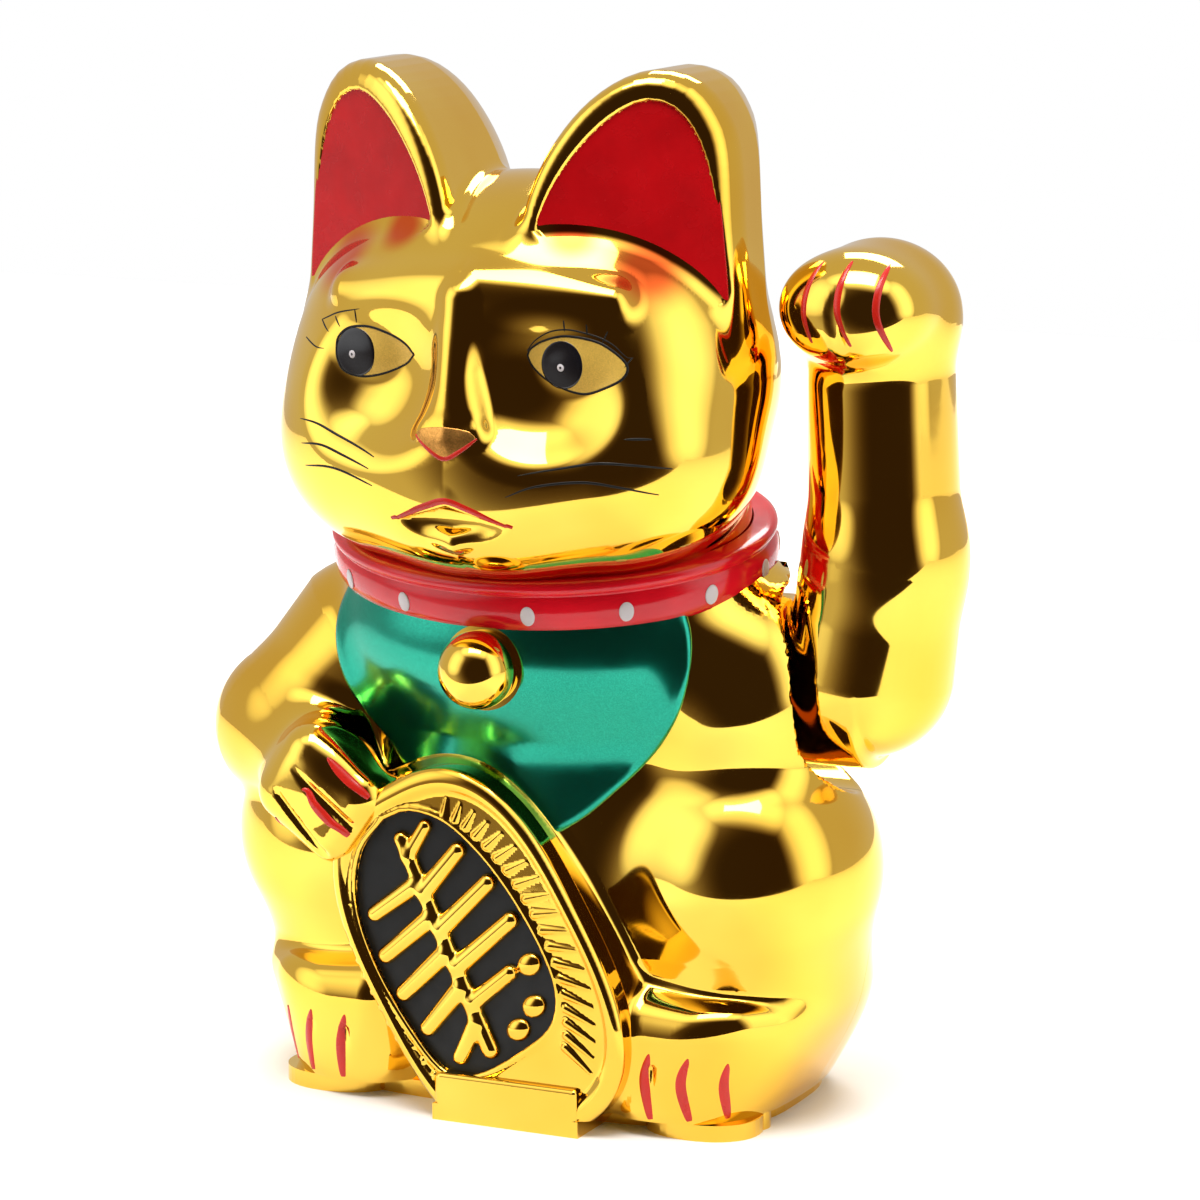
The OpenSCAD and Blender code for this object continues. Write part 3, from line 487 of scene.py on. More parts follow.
def face_field(p):
    q = mirrored(p)
    f = egg(p, HEAD_AT, (36, 27.2, 28.5))
    f = blend(f, egg(q, (15.0, -20.5, 97.5), (17.5, 16, 14)), 9)
    f = blend(f, egg(q, (9, -16, 94), (24.5, 19.2, 14.8)), 6)
    f = blend(f, egg(p, (0, -26.4, 94.5), (16, 13.2, 14.4)), 7)
    f = carve(f, egg(q, (14.6, -44.2, 109.3), (15.8, 12.4, 13.0), (0, 0, 8)), 3.2)
    f = blend(f, egg(q, (16.2, -26.8, 110.6), (8.0, 5.8, 5.8), (0, 0, 14)), 1.6)
    brow = limb(q, (1.0, -32.0, 120.0), (20, -28.8, 119.0), 3.7, 2.6)
    f = blend(f, brow, 2.6)
    return mouth_field(p, q, blend(f, nose_field(p, q), 1.3))


def nose_field(p, q):
    """A straight round-backed ridge from the brow that ends in a wide, pointed tip."""
    ridge = limb(p, (0, -34.4, 119.0), (0, -36.7, 104.5), 2.9, 3.2)
    wing = limb(q, (0.6, -34.8, 106.5), (3.0, -37.6, 101.0), 2.6, 2.3)
    tip = limb(q, (0, -38.2, 100.6), (2.9, -37.6, 101.2), 2.5, 1.9)
    return blend(ridge, blend(wing, tip, 1.0), 2.0)


def mouth_field(p, q, f):
    upper = limb(q, (0, -38.0, 92.8), (12.2, -34.4, 89.2), 1.9, 0.9)
    f = blend(f, upper, 1.0)
    opening = np.maximum(egg(p, (0, -40.3, 88.2), (10.4, 3.4, 3.4)), z_under_lip(q))
    f = carve(f, opening, 0.5)
    lower = limb(q, (0, -37.0, 85.9), (7.6, -35.4, 88.2), 1.5, 0.8)
    return blend(f, lower, 0.8)


def z_under_lip(q):
    """Above zero over the peaked edge of the upper lip."""
    return q[2] - (91.2 - q[0] * 0.32)


def head_field(p):
    f = blend(face_field(p), ear_field(p), 1.8)
    return blend(f, neck_field(p, (29.9, 21.9)), 1.2)


# %% [markdown]
# ## The raised arm
# A hollow arm on its own axle. The root is a round drum in the shoulder, the elbow is full and
# round, the forearm rises with a slight waist, and the paw curls forward with three claws.


# %% Arm field
PAW_GROOVES = (43.4, 48.4, 53.9)


def arm_field(p):
    drum = np.maximum(from_axle(p) - ROOT_R, np.maximum(30 - p[0], p[0] - 50))
    f = blend(arm_bulk_field(p), keep(drum, p[0] - 48, 1), 1.5)
    wrist = egg(p, (48.4, -1, 116), (11.4, 11.5, 10.6))
    paw = egg(p, (48.0, -9.2, 117.6), (10.9, 8.6, 8.3), (8, 0, 0))
    f = blend(f, blend(wrist, paw, 3.0), 2.4)
    for x in PAW_GROOVES:
        f = carve(f, limb(p, (x + 0.7, -17.6, 124), (x - 0.6, -19.2, 118), 0.9, 1.1), 0.9)
        f = carve(f, limb(p, (x - 0.6, -19.2, 118), (x + 0.9, -16.4, 110.5), 1.1, 0.7), 0.9)
    return f


print("grooves in the raised paw:", len(PAW_GROOVES))

# %% [markdown]
# ## From field to mesh
# The field is sampled on a grid, the zero surface comes out as quads, and the vertices are pulled
# onto the exact surface. The two shells meet at the seam, so each mesh is cut there, and its cut
# edge is turned inwards to give the wall a thickness and the seam its dark line.


# %% Field to mesh
WALL = 1.2


def slope(field, points):
    """The field, its unit gradient and the gradient's size at some points."""
    e = 0.02
    x, y, z = (points[:, i] for i in range(3))
    g = np.stack([field((x + e, y, z)) - field((x - e, y, z)), field((x, y + e, z)) - field((x, y - e, z)),
                  field((x, y, z + e)) - field((x, y, z - e))], 1) / (2 * e)
    size = np.linalg.norm(g, axis=1, keepdims=True) + 1e-9
    return field((x, y, z)), g / size, size[:, 0]


def onto(field, points, rounds=4):
    """Points pulled onto the field's zero surface."""
    for _ in range(rounds):
        f, n, size = slope(field, points)
        points = points - n * np.clip(f / np.maximum(size, 0.2), -1, 1)[:, None]
    return points


def surface(field, low, high, step):
    """Quads of the field's zero surface inside a box, in millimetres."""
    axes = [np.arange(low[i], high[i] + step, step, dtype=np.float64) for i in range(3)]
    p = (axes[0][:, None, None], axes[1][None, :, None], axes[2][None, None, :])
    values = np.clip(field(p), -3 * step, 3 * step).astype(np.float32)
    grid = openvdb.FloatGrid(3 * step)
    grid.copyFromArray(np.array(values, order="C"))
    points, quads = grid.convertToQuads(0.0)
    points = points.astype(np.float64) * step + np.array(low)
    return onto(field, points), quads


def field_mesh(name, field, low, high, step, material, cuts=()):
    """A mesh object of a field. cuts are (point, normal): the side that the normal points to goes."""
    points, quads = surface(field, low, high, step)
    mesh = bpy.data.meshes.new(name)
    mesh.from_pydata(points.tolist(), [], quads.tolist())
    shape = bmesh.new()
    shape.from_mesh(mesh)
    for at, normal in cuts:
        everything = shape.verts[:] + shape.edges[:] + shape.faces[:]
        bmesh.ops.bisect_plane(shape, geom=everything, plane_co=at, plane_no=normal,
                               clear_outer=True, dist=1e-4)
    shape.normal_update()
    shape.faces.ensure_lookup_table()
    # turn the faces outwards
    some = shape.faces[len(shape.faces) // 2]
    middle = np.array([some.calc_center_median()])
    if float(slope(field, middle)[1][0] @ np.array(some.normal)) < 0:
        bmesh.ops.reverse_faces(shape, faces=shape.faces[:])
    # turn the cut edges inwards by one wall
    border = [e for e in shape.edges if e.is_boundary]
    skin_count = len(shape.faces)
    if border:
        grown = bmesh.ops.extrude_edge_only(shape, edges=border)["geom"]
        rim = [v for v in grown if isinstance(v, bmesh.types.BMVert)]
        places = np.array([v.co for v in rim])
        inward = slope(field, places)[1]
        for at, normal in cuts:
            n = np.array(normal, float)
            near = np.abs((places - np.array(at)) @ n) < 0.01
            inward[near] -= np.outer(inward[near] @ n, n)
        for v, n in zip(rim, inward):
            v.co = Vector(np.array(v.co) - n * WALL)
    shape.faces.ensure_lookup_table()
    is_rim = [i >= skin_count for i in range(len(shape.faces))]
    shape.to_mesh(mesh)
    shape.free()
    return finish_mesh(name, mesh, field, material, is_rim)


def finish_mesh(name, mesh, field, material, is_rim):
    """Millimetres to metres, the field's slope as normals, and an object for the mesh."""
    places = np.empty(len(mesh.vertices) * 3)
    mesh.vertices.foreach_get("co", places)
    places = places.reshape(-1, 3)
    normals = slope(field, places)[1]
    mesh.update()
    corner = np.empty(len(mesh.loops), int)
    mesh.loops.foreach_get("vertex_index", corner)
    per_corner = normals[corner]
    if any(is_rim):
        for poly in mesh.polygons:
            if is_rim[poly.index]:
                per_corner[poly.loop_start:poly.loop_start + poly.loop_total] = poly.normal
    mesh.vertices.foreach_set("co", (places * MM).ravel())
    mesh.polygons.foreach_set("use_smooth", [True] * len(mesh.polygons))
    mesh.update()
    mesh.normals_split_custom_set(per_corner.tolist())
    mesh.materials.append(material)
    obj = bpy.data.objects.new(name, mesh)
    bpy.context.collection.objects.link(obj)
    print(name, len(mesh.polygons), "faces")
    return obj


def place(obj, body, slot, *stands_for):
    """Says what a piece moves with and hides the CAD parts it stands for. slot is not used."""
    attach(obj, body)
    if stands_for:
        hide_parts(*stands_for)
    return obj


# %% Shells
FINE = 0.6
HEAD_FINE = 0.45
SEAM_GAP = 0.06
front_cut = ((0, SEAM_Y - SEAM_GAP, 0), (0, 1, 0))
rear_cut = ((0, SEAM_Y + SEAM_GAP, 0), (0, -1, 0))
COLLAR_UP = (0, -math.sin(math.radians(COLLAR_TILT)), math.cos(math.radians(COLLAR_TILT)))
below_collar = (COLLAR_AT, COLLAR_UP)
above_collar = (COLLAR_AT, tuple(-v for v in COLLAR_UP))
floor_cut = ((0, 0, 2.4), (0, 0, -1))


def moulded(name, field, low, high, step, material, cuts, body, part):
    """A gold moulding made from a field, which stands for one CAD part."""
    place(field_mesh(name, field, low, high, step, material, cuts), body, "gold_shell", part)


moulded("front_shell_body", body_field, (-60, -42, -3), (56, 4, 90), FINE, shell_gold,
        [front_cut, floor_cut, below_collar], BODY, "front_shell")
moulded("rear_shell_body", body_field, (-60, -1, -3), (56, 30, 92), FINE, shell_gold,
        [rear_cut, floor_cut, below_collar], BODY, "rear_shell")
moulded("front_shell_head", head_field, (-42, -48, 74), (42, 4, 154), HEAD_FINE, head_gold,
        [front_cut, above_collar], BODY, "front_shell")
moulded("rear_shell_head", head_field, (-42, -1, 74), (42, 22, 154), FINE, head_gold,
        [rear_cut, above_collar], BODY, "rear_shell")

# %% [markdown]
# The raised arm is two halves that meet on the same seam, and it rides its own axle.

# %% Arm halves
ARM_FINE = FINE * 0.8
moulded("raised_arm_front", arm_field, (28, -22, 48), (64, 4, 130), ARM_FINE, shell_gold,
        [front_cut], ARM, "arm_front_half")
moulded("raised_arm_rear", arm_field, (28, -1, 48), (64, 18, 130), ARM_FINE, shell_gold,
        [rear_cut], ARM, "arm_rear_half")

# %% [markdown]
# ## The coin tablet
# The front shell holds an oval coin with a rolled rim, a band of milled bars down one side and a
# sunk field filled with black. Raised gold strokes stand in the field: here a plain sprig with
# leaves and two berries. It is a field of its own on a finer grid, because its detail is small.

# %% Coin
COIN_PLATE = smooth_line([(-3.2, 24.2), (1.4, 23.6), (6.2, 19.2), (9.4, 10.5), (10.6, 0.0),
                          (9.8, -8.6), (6.2, -13.4), (-1.0, -15.0), (-8.6, -15.0), (-13.2, -12.2),
                          (-15.2, -4.0), (-15.6, 6.6), (-13.8, 15.4), (-9.2, 21.6), (-3.2, 24.2)],
                         1.6)[:-1].tolist()
COIN_SUNK = 1.3
# each leaf runs from one place to another, across and along the coin, with a radius
LEAVES = [(-4.0, 13.4, -11.8, 12.4, 1.5), (-4.2, 8.2, -13.2, 6.4, 1.6), (-4.4, 2.8, -13.4, 0.4, 1.6),
          (-4.6, -2.6, -12.4, -5.6, 1.6), (-4.8, -8.0, -9.8, -11.4, 1.5),
          (-2.6, 17.6, 2.0, 20.2, 1.3), (-2.8, 12.0, 5.0, 15.0, 1.6), (-3.0, 6.2, 7.0, 9.0, 1.6),
          (-3.2, 0.4, 7.6, 2.8, 1.6), (-3.6, -5.2, 3.6, -3.8, 1.5)]
BERRIES = [(7.0, -4.0), (4.6, -9.6), (0.6, -11.6)]


def coin_face_field(p):
    q = coin_axes(p)
    a, b, out = q
    edge = oval(a, b, COIN_HALF)
    f = keep(keep(edge, out, 0.8), -out - 4, 0.5)
    f = blend(f, np.sqrt((edge + 1.2) ** 2 + (out + 0.1) ** 2) - 0.95, 0.6)
    plate = flat_shape(a, b, COIN_PLATE)
    f = carve(f, np.maximum(plate, -(out + COIN_SUNK)), 0.35)
    f = blend(f, np.sqrt(plate ** 2 + (out + 0.05) ** 2) - 0.5, 0.5)
    stem = limb(q, (-4.9, -12.4, -0.9), (-2.4, 20.2, -0.9), 1.4, 1.2)
    strokes = stem
    for a0, b0, a1, b1, r in LEAVES:
        strokes = blend(strokes, limb(q, (a0, b0, -0.9), (a1, b1, -0.9), r, r * 0.85), 0.6)
    for at in BERRIES:
        strokes = np.minimum(strokes, egg(q, (*at, -0.95), (2.0, 1.7, 1.1)))
    return blend(blend(f, strokes, 0.25), teeth_field(q), 0.25)


def teeth_field(q):
    """Milled bars between the sunk field and the rim, and short ticks down the other edge."""
    bars = None
    for i in range(19):
        turn = math.radians(-58 + i * 6.6)
        c, s = math.cos(turn), math.sin(turn)
        inner, outer = (11.2 * c + 0.6, 21.5 * s + 1.5), (15.6 * c, 25.4 * s)
        bar = limb(q, (*inner, -0.25), (*outer, -0.1), 0.7, 0.22)
        bars = bar if bars is None else np.minimum(bars, bar)
    for i in range(13):
        b = -15 + i * 2.5
        a = -16.1 * (1 - (abs(b - 1) / 32) ** 2.6)
        bars = np.minimum(bars, limb(q, (a - 1.5, b, 0.1), (a - 0.2, b + 0.5, 0.0), 0.45, 0.5))
    return bars


COIN_FINE = 0.34
moulded("coin_tablet", coin_face_field, (-28, -31, 1), (24, -23, 52), COIN_FINE, shell_gold,
        [floor_cut], BODY, "front_shell")

# %% [markdown]
# The black of the sunk field is paint that ran level round the strokes: one flat sheet, a hair
# above the field's floor, with the strokes standing up through it.


# %% Black of the coin
def coin_point(a, b, out):
    """The place of a point given in the coin's own axes."""
    c, s = math.cos(COIN_TURN), math.sin(COIN_TURN)
    return np.array([COIN_AT[0] + a * c - b * s, COIN_AT[1] - out, COIN_AT[2] + a * s + b * c])


def sheet_mesh(name, points, faces, material):
    mesh = bpy.data.meshes.new(name)
    mesh.from_pydata((np.array(points) * MM).tolist(), [], faces)
    mesh.update()
    mesh.materials.append(material)
    obj = bpy.data.objects.new(name, mesh)
    bpy.context.collection.objects.link(obj)
    return obj


centre = np.mean(COIN_PLATE, axis=0)
inset = [centre + (np.array(v) - centre) * 0.985 for v in COIN_PLATE]
rows = [coin_point(*v, rise - COIN_SUNK) for rise in (0.3, -0.2) for v in inset]
n = len(inset)
caps = [list(range(n)), list(range(2 * n - 1, n - 1, -1))]
walls = [[i, i + n, (i + 1) % n + n, (i + 1) % n] for i in range(n)]
coin_black = sheet_mesh("coin_black_field", rows, caps + walls, recess_black)
only(coin_black)
bpy.ops.object.mode_set(mode="EDIT")
bpy.ops.mesh.select_all(action="SELECT")
bpy.ops.mesh.normals_make_consistent(inside=False)
bpy.ops.object.mode_set(mode="OBJECT")
place(coin_black, BODY, "gold_shell")
print("black of the coin:", n, "corners")

# %% [markdown]
# ## Paint that lies on the skin
# A stroke follows points on the skin, pulled exactly onto it, and swells and tapers like a brush
# mark. A patch fills an outline: rings between the middle and the edge are pulled onto the skin in
# the same way. Both stand a few hundredths of a millimetre proud and turn down at their edges.


# %% Patches and strokes
def closed_line(points, count):
    """A flowing closed outline through points, as count evenly spaced places."""
    pts = np.array(points, float)
    line = smooth_line(np.vstack([pts[-2:], pts, pts[:2]]), 0.1)
    start = np.argmin(np.linalg.norm(line[:len(line) // 3] - pts[0], axis=1))
    end = len(line) * 2 // 3 + np.argmin(np.linalg.norm(line[len(line) * 2 // 3:] - pts[0], axis=1))
    line = line[start:end + 1]
    along = np.concatenate([[0], np.cumsum(np.linalg.norm(np.diff(line, axis=0), axis=1))])
    places = np.linspace(0, along[-1], count, endpoint=False)
    return np.stack([np.interp(places, along, line[:, i]) for i in range(pts.shape[1])], 1)


def stroke(name, field, points, width, material, lift=0.07, ends=(0.25, 0.25), body=BODY):
    """A brush stroke on the skin. ends are the widths at its two ends, as shares of its width."""
    line = onto(field, smooth_line(points, 0.35), 8)
    up = slope(field, line)[1]
    across = np.cross(np.gradient(line, axis=0), up)
    across /= np.linalg.norm(across, axis=1, keepdims=True)
    t = np.linspace(0, 1, len(line))
    taper = ends[0] * (1 - t) + ends[1] * t
    half = width / 2 * (np.sin(np.pi * t) ** 0.6 * (1 - taper) + taper)
    shape = [(-1, -0.05), (-0.8, lift * 0.7), (0, lift), (0.8, lift * 0.7), (1, -0.05)]
    rows = []
    for side, height in shape:
        skin = onto(field, line + across * (half * side)[:, None], 4)
        rows.append(skin + slope(field, skin)[1] * height)
    places = np.stack(rows, 1).reshape(-1, 3)
    k = len(shape)
    faces = [[i * k + j, i * k + j + 1, (i + 1) * k + j + 1, (i + 1) * k + j]
             for i in range(len(line) - 1) for j in range(k - 1)]
    return paint_piece(name, field, places, faces, material, body, "gold_shell")


def patch(name, field, outline, material, lift=0.06, rings=10, edge=0.3, around=72,
          slot="gold_shell"):
    """A filled patch on the skin with a rounded edge, from an outline round its middle."""
    rim = onto(field, closed_line(outline, around), 6)
    middle = onto(field, rim.mean(0)[None], 8)
    reach = np.linalg.norm(rim - middle, axis=1).mean()
    shares = list(np.linspace(0, 1 - edge / reach, rings))[1:] + [1 - edge * 0.35 / reach, 1.0, 1.0]
    heights = [lift] * (rings - 1) + [lift * 0.8, lift * 0.35, -0.08]
    flat = np.vstack([middle] + [middle + (rim - middle) * s for s in shares])
    skin = onto(field, flat, 8)
    rise = np.concatenate([[lift]] + [[h] * around for h in heights])
    places = skin + slope(field, skin)[1] * rise[:, None]
    faces = [[0, 1 + (i + 1) % around, 1 + i] for i in range(around)]
    for r in range(len(shares) - 1):
        a, b = 1 + r * around, 1 + (r + 1) * around
        faces += [[a + i, a + (i + 1) % around, b + (i + 1) % around, b + i] for i in range(around)]
    return paint_piece(name, field, places, faces, material, BODY, slot)


def paint_piece(name, field, places, faces, material, body, slot):
    """A smooth sheet of paint, its faces turned outwards."""
    obj = sheet_mesh(name, places, faces, material)
    face = obj.data.polygons[len(faces) // 2]
    outward = slope(field, np.array(face.center)[None] / MM)[1][0]
    if float(np.array(face.normal) @ outward) < 0:
        obj.data.flip_normals()
    obj.data.polygons.foreach_set("use_smooth", [True] * len(obj.data.polygons))
    obj.data.update()
    return place(obj, body, slot)


# %% [markdown]
# ## Bib
# The bib is a low step on the chest, sprayed green. Its sides run down in a soft V to a rounded
# point behind the coin, and its top goes under the collar.

# %% Bib
BIB_SIDE = [(25.0, -19, 77.5), (27.2, -18.6, 74.0), (27.9, -19.3, 68.4), (27.1, -20.4, 62.8),
            (24.6, -20.3, 57.5), (20.6, -19.2, 52.6), (15.9, -19.9, 48), (11.6, -21.2, 44.2),
            (6.5, -23.8, 41.2), (0, -24.2, 40.2)]
BIB_TOP = [(0, -27.5, 75.5), (14, -25.5, 76.5)]
far_side = [(-x, y, z) for x, y, z in BIB_SIDE[-2::-1] + BIB_TOP[:0:-1]]
bib_outline = BIB_TOP + BIB_SIDE + far_side


def chest_field(p):
    """The chest under the bib, with the shoulders that it lies against."""
    return blend(blend(torso_field(p), leg_field(p), 6), shoulder_field(mirrored(p)), 5)


bib = patch("bib", chest_field, bib_outline, bib_green, lift=0.75, rings=30, edge=0.8, around=200,
            slot="green_bib")
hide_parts("bib")
print("bib:", len(bib.data.polygons), "faces")

# %% [markdown]
# ## Collar
# A moulded ring with a bead along its top edge, open by a slit at the back where it snaps on. Its
# section is swept by extruding one long arc of edges, step by step, and closed at the end.

# %% Collar
COLLAR_INNER = (30.1, 22.1)
COLLAR_SECTION = [(0, -4), (1.7, -3.95), (2.6, -3.4), (3.1, -2.4), (3.3, -1.0), (3.25, 0.4),
                  (3.0, 1.3), (2.75, 1.7), (2.8, 2.0), (3.15, 2.3), (3.4, 2.8), (3.3, 3.4),
                  (2.8, 3.85), (1.9, 4.0), (0, 4)]

none_selected()
bpy.ops.mesh.primitive_circle_add(vertices=180, radius=MM, location=(0, 0, 0))
collar = bpy.context.object
collar.name = "collar"
bpy.ops.object.mode_set(mode="EDIT")
shape = bmesh.from_edit_mesh(collar.data)
for edge in shape.edges:
    middle = (edge.verts[0].co + edge.verts[1].co) / 2
    edge.select_set(middle.y > 0 and abs(middle.x) < 0.03 * MM)
bmesh.update_edit_mesh(collar.data)
bpy.ops.mesh.select_mode(type="EDGE")
bpy.ops.mesh.delete(type="EDGE")
bpy.ops.mesh.select_all(action="SELECT")
size = (1.0, 1.0)
height = 0.0
for out, up in COLLAR_SECTION + [COLLAR_SECTION[0]]:
    if size != (1.0, 1.0):
        bpy.ops.mesh.extrude_edges_move()
    wanted = (COLLAR_INNER[0] + out, COLLAR_INNER[1] + out)
    bpy.ops.transform.resize(value=(wanted[0] / size[0], wanted[1] / size[1], 1),
                             center_override=(0, 0, height * MM))
    bpy.ops.transform.translate(value=(0, 0, (up - height) * MM))
    size, height = wanted, up
bpy.ops.mesh.select_all(action="SELECT")
bpy.ops.mesh.remove_doubles(threshold=1e-6)
bpy.ops.mesh.select_all(action="DESELECT")
bpy.ops.mesh.select_non_manifold()
bpy.ops.mesh.fill_holes(sides=0)
bpy.ops.mesh.select_all(action="SELECT")
bpy.ops.mesh.normals_make_consistent(inside=False)
bpy.ops.object.mode_set(mode="OBJECT")
collar.rotation_euler = (math.radians(COLLAR_TILT), 0, 0)
collar.location = [v * MM for v in COLLAR_AT]
only(collar)
bpy.ops.object.transform_apply(location=True, rotation=True, scale=True)
bpy.ops.object.shade_smooth_by_angle(angle=math.radians(40))
collar.data.materials.append(red_enamel)
place(collar, BODY, "red_collar", "collar")
print("collar:", len(collar.data.polygons), "faces")

# %% [markdown]
# White dots run round the band at even steps and leave out the slit at the back.

# %% Dots on the collar
DOT_FIRST, DOT_STEP = 12.5, 25
BAND_OUT = 3.3


def collar_face_point(turn, up):
    """A point on the outer face of the band at an angle from the front."""
    a = math.radians(turn - 90)
    x, y = (COLLAR_INNER[0] + BAND_OUT) * math.cos(a), (COLLAR_INNER[1] + BAND_OUT) * math.sin(a)
    c, s = math.cos(math.radians(COLLAR_TILT)), math.sin(math.radians(COLLAR_TILT))
    return Vector((COLLAR_AT[0] + x, COLLAR_AT[1] + y * c - up * s, COLLAR_AT[2] + y * s + up * c))


def surface_disc(name, at, normal, tall, wide, thick, material):
    """A lens of paint on a surface that faces along normal."""
    none_selected()
    bpy.ops.mesh.primitive_uv_sphere_add(segments=32, ring_count=12, radius=1, location=(0, 0, 0))
    obj = bpy.context.object
    obj.name = name
    obj.scale = (wide / 2 * MM, tall / 2 * MM, thick * MM)
    obj.rotation_euler = Vector(normal).to_track_quat("Z", "Y").to_euler()
    obj.location = [v * MM for v in at]
    bpy.ops.object.transform_apply(location=True, rotation=True, scale=True)
    bpy.ops.object.shade_smooth()
    obj.data.materials.append(material)
    return obj


for i in range(14):
    turn = DOT_FIRST + DOT_STEP * i
    if 170 < turn < 190:
        continue
    at = collar_face_point(turn, -0.9)
    normal = (collar_face_point(turn + 1, -0.9) - collar_face_point(turn - 1, -0.9)).cross(
        collar_face_point(turn, 1) - collar_face_point(turn, -1)).normalized()
    dot = surface_disc("collar_dot_%02d" % i, at, normal, 2.9, 2.1, 0.22, dot_white)
    place(dot, BODY, "red_collar")
print("dots every", DOT_STEP, "degrees")

# %% [markdown]
# ## Bell
# A round ball with a narrow flange where its two halves meet, set against the bib under the collar.

# %% Bell
BELL_AT = (0, -30.4, 66.6)
BELL_R = 5.55
none_selected()
bpy.ops.mesh.primitive_uv_sphere_add(segments=96, ring_count=60, radius=BELL_R * MM, location=(0, 0, 0))
bell = bpy.context.object
bell.name = "bell"
bpy.ops.object.mode_set(mode="EDIT")
shape = bmesh.from_edit_mesh(bell.data)
bpy.ops.mesh.select_all(action="DESELECT")
bpy.ops.mesh.select_mode(type="FACE")
for face in shape.faces:
    face.select_set(-2.3 * MM < face.calc_center_median().z < -1.7 * MM)
bmesh.update_edit_mesh(bell.data)
bpy.ops.mesh.extrude_region_move()
bpy.ops.transform.resize(value=(1.16, 1.16, 0.7), center_override=(0, 0, -2.0 * MM))
bpy.ops.object.mode_set(mode="OBJECT")
bell.rotation_euler = (math.radians(90), 0, 0)
bell.location = [v * MM for v in BELL_AT]
only(bell)
bpy.ops.object.transform_apply(location=True, rotation=True, scale=True)
bpy.ops.object.shade_smooth_by_angle(angle=math.radians(35))
bell.data.materials.append(shell_gold)
place(bell, BODY, "bell_gold", "bell")
print("bell:", len(bell.data.polygons), "faces")

# %% [markdown]
# ## Ear linings
# Each lining is a sheet of red lacquer that fills the floor of the ear's recess up to the rim.


# %% Ear linings
def lining_plane(side):
    """The floor of an ear's recess as a field."""
    def field(p):
        return ear_front((side * p[0], p[1], p[2])) + 0 * p[2]
    return field


def lining_point(side, x, z):
    return (side * x, -27.4 + (x - 9) * 0.42, z)


for side, name in ((1, "left"), (-1, "right")):
    line = np.array(EAR_LINING)
    away = line - line.mean(0)
    grown = line + away / np.linalg.norm(away, axis=1, keepdims=True) * 0.8
    outline = [lining_point(side, x, z) for x, z in grown]
    lining = patch("ear_lining_" + name, lining_plane(side), outline, lining_red, lift=0.12,
                   rings=8, edge=0.5, around=120)
    print(lining.name, len(lining.data.polygons), "faces")

# %% [markdown]
# ## The painted face
# Pale gold eyes with a fine dark outline, black pupils that both look to the same side, a small
# ringed glint, lashes, a bronze nose pad with a red edge, a red upper lip and three whiskers a side.

# %% Eyes
EYE_LEFT = [(9.5, -33.7, 111.7), (10, -33.6, 112.7), (11.8, -33.3, 113.9), (14.6, -32.9, 114.7),
            (17.7, -32, 114.5), (20.6, -31.6, 113.5), (23.7, -31.9, 111.2), (23.1, -32.8, 109.3),
            (19.1, -31.7, 107.2), (15.9, -32.4, 107), (12.2, -33.1, 108.3), (10.2, -33.6, 110)]
EYE_RIGHT = [(-8.3, -34, 110.9), (-9.8, -33.6, 112.3), (-12.4, -33.1, 113.6), (-15.6, -32.5, 114.4),
             (-18.6, -31.7, 114), (-20.4, -31.7, 112.6), (-20.7, -31.8, 110.9), (-20.5, -31.7, 109.4),
             (-19.5, -31.6, 107.9), (-16.6, -32.2, 107.3), (-13.1, -32.9, 107.9), (-10.1, -33.6, 109.3)]
# a place, half a width and half a height
PUPILS = {"left": ((14.3, -32.7, 110.7), 3.15, 3.4), "right": ((-17.6, -32.0, 110.7), 3.15, 3.4)}
GLINTS = {"left": (14.2, -32.8, 110.4), "right": (-18.0, -32.0, 110.4)}


def round_outline(at, half_w, half_h, count=24):
    turns = np.linspace(0, 2 * math.pi, count, endpoint=False)
    return [(at[0] + half_w * math.cos(a), at[1], at[2] + half_h * math.sin(a)) for a in turns]


for name, outline in (("left", EYE_LEFT), ("right", EYE_RIGHT)):
    patch("eye_" + name, face_field, outline, eye_gold, lift=0.05, rings=12)
    stroke("eye_line_" + name, face_field, outline + outline[:1], 0.42, stroke_black, lift=0.12,
           ends=(0.7, 0.7))
    at, half_w, half_h = PUPILS[name]
    patch("pupil_" + name, face_field, round_outline(at, half_w, half_h), pupil_black, lift=0.11, rings=10)
    patch("glint_" + name, face_field, round_outline(GLINTS[name], 0.55, 0.55), dot_white,
          lift=0.16, rings=3, around=24, edge=0.1)
    patch("glint_ring_" + name, face_field, round_outline(GLINTS[name], 0.2, 0.2), stroke_black,
          lift=0.2, rings=2, around=16, edge=0.06)
print("eyes:", *PUPILS)

# %% [markdown]
# A long lash follows the brow over each eye, with short ones across it.

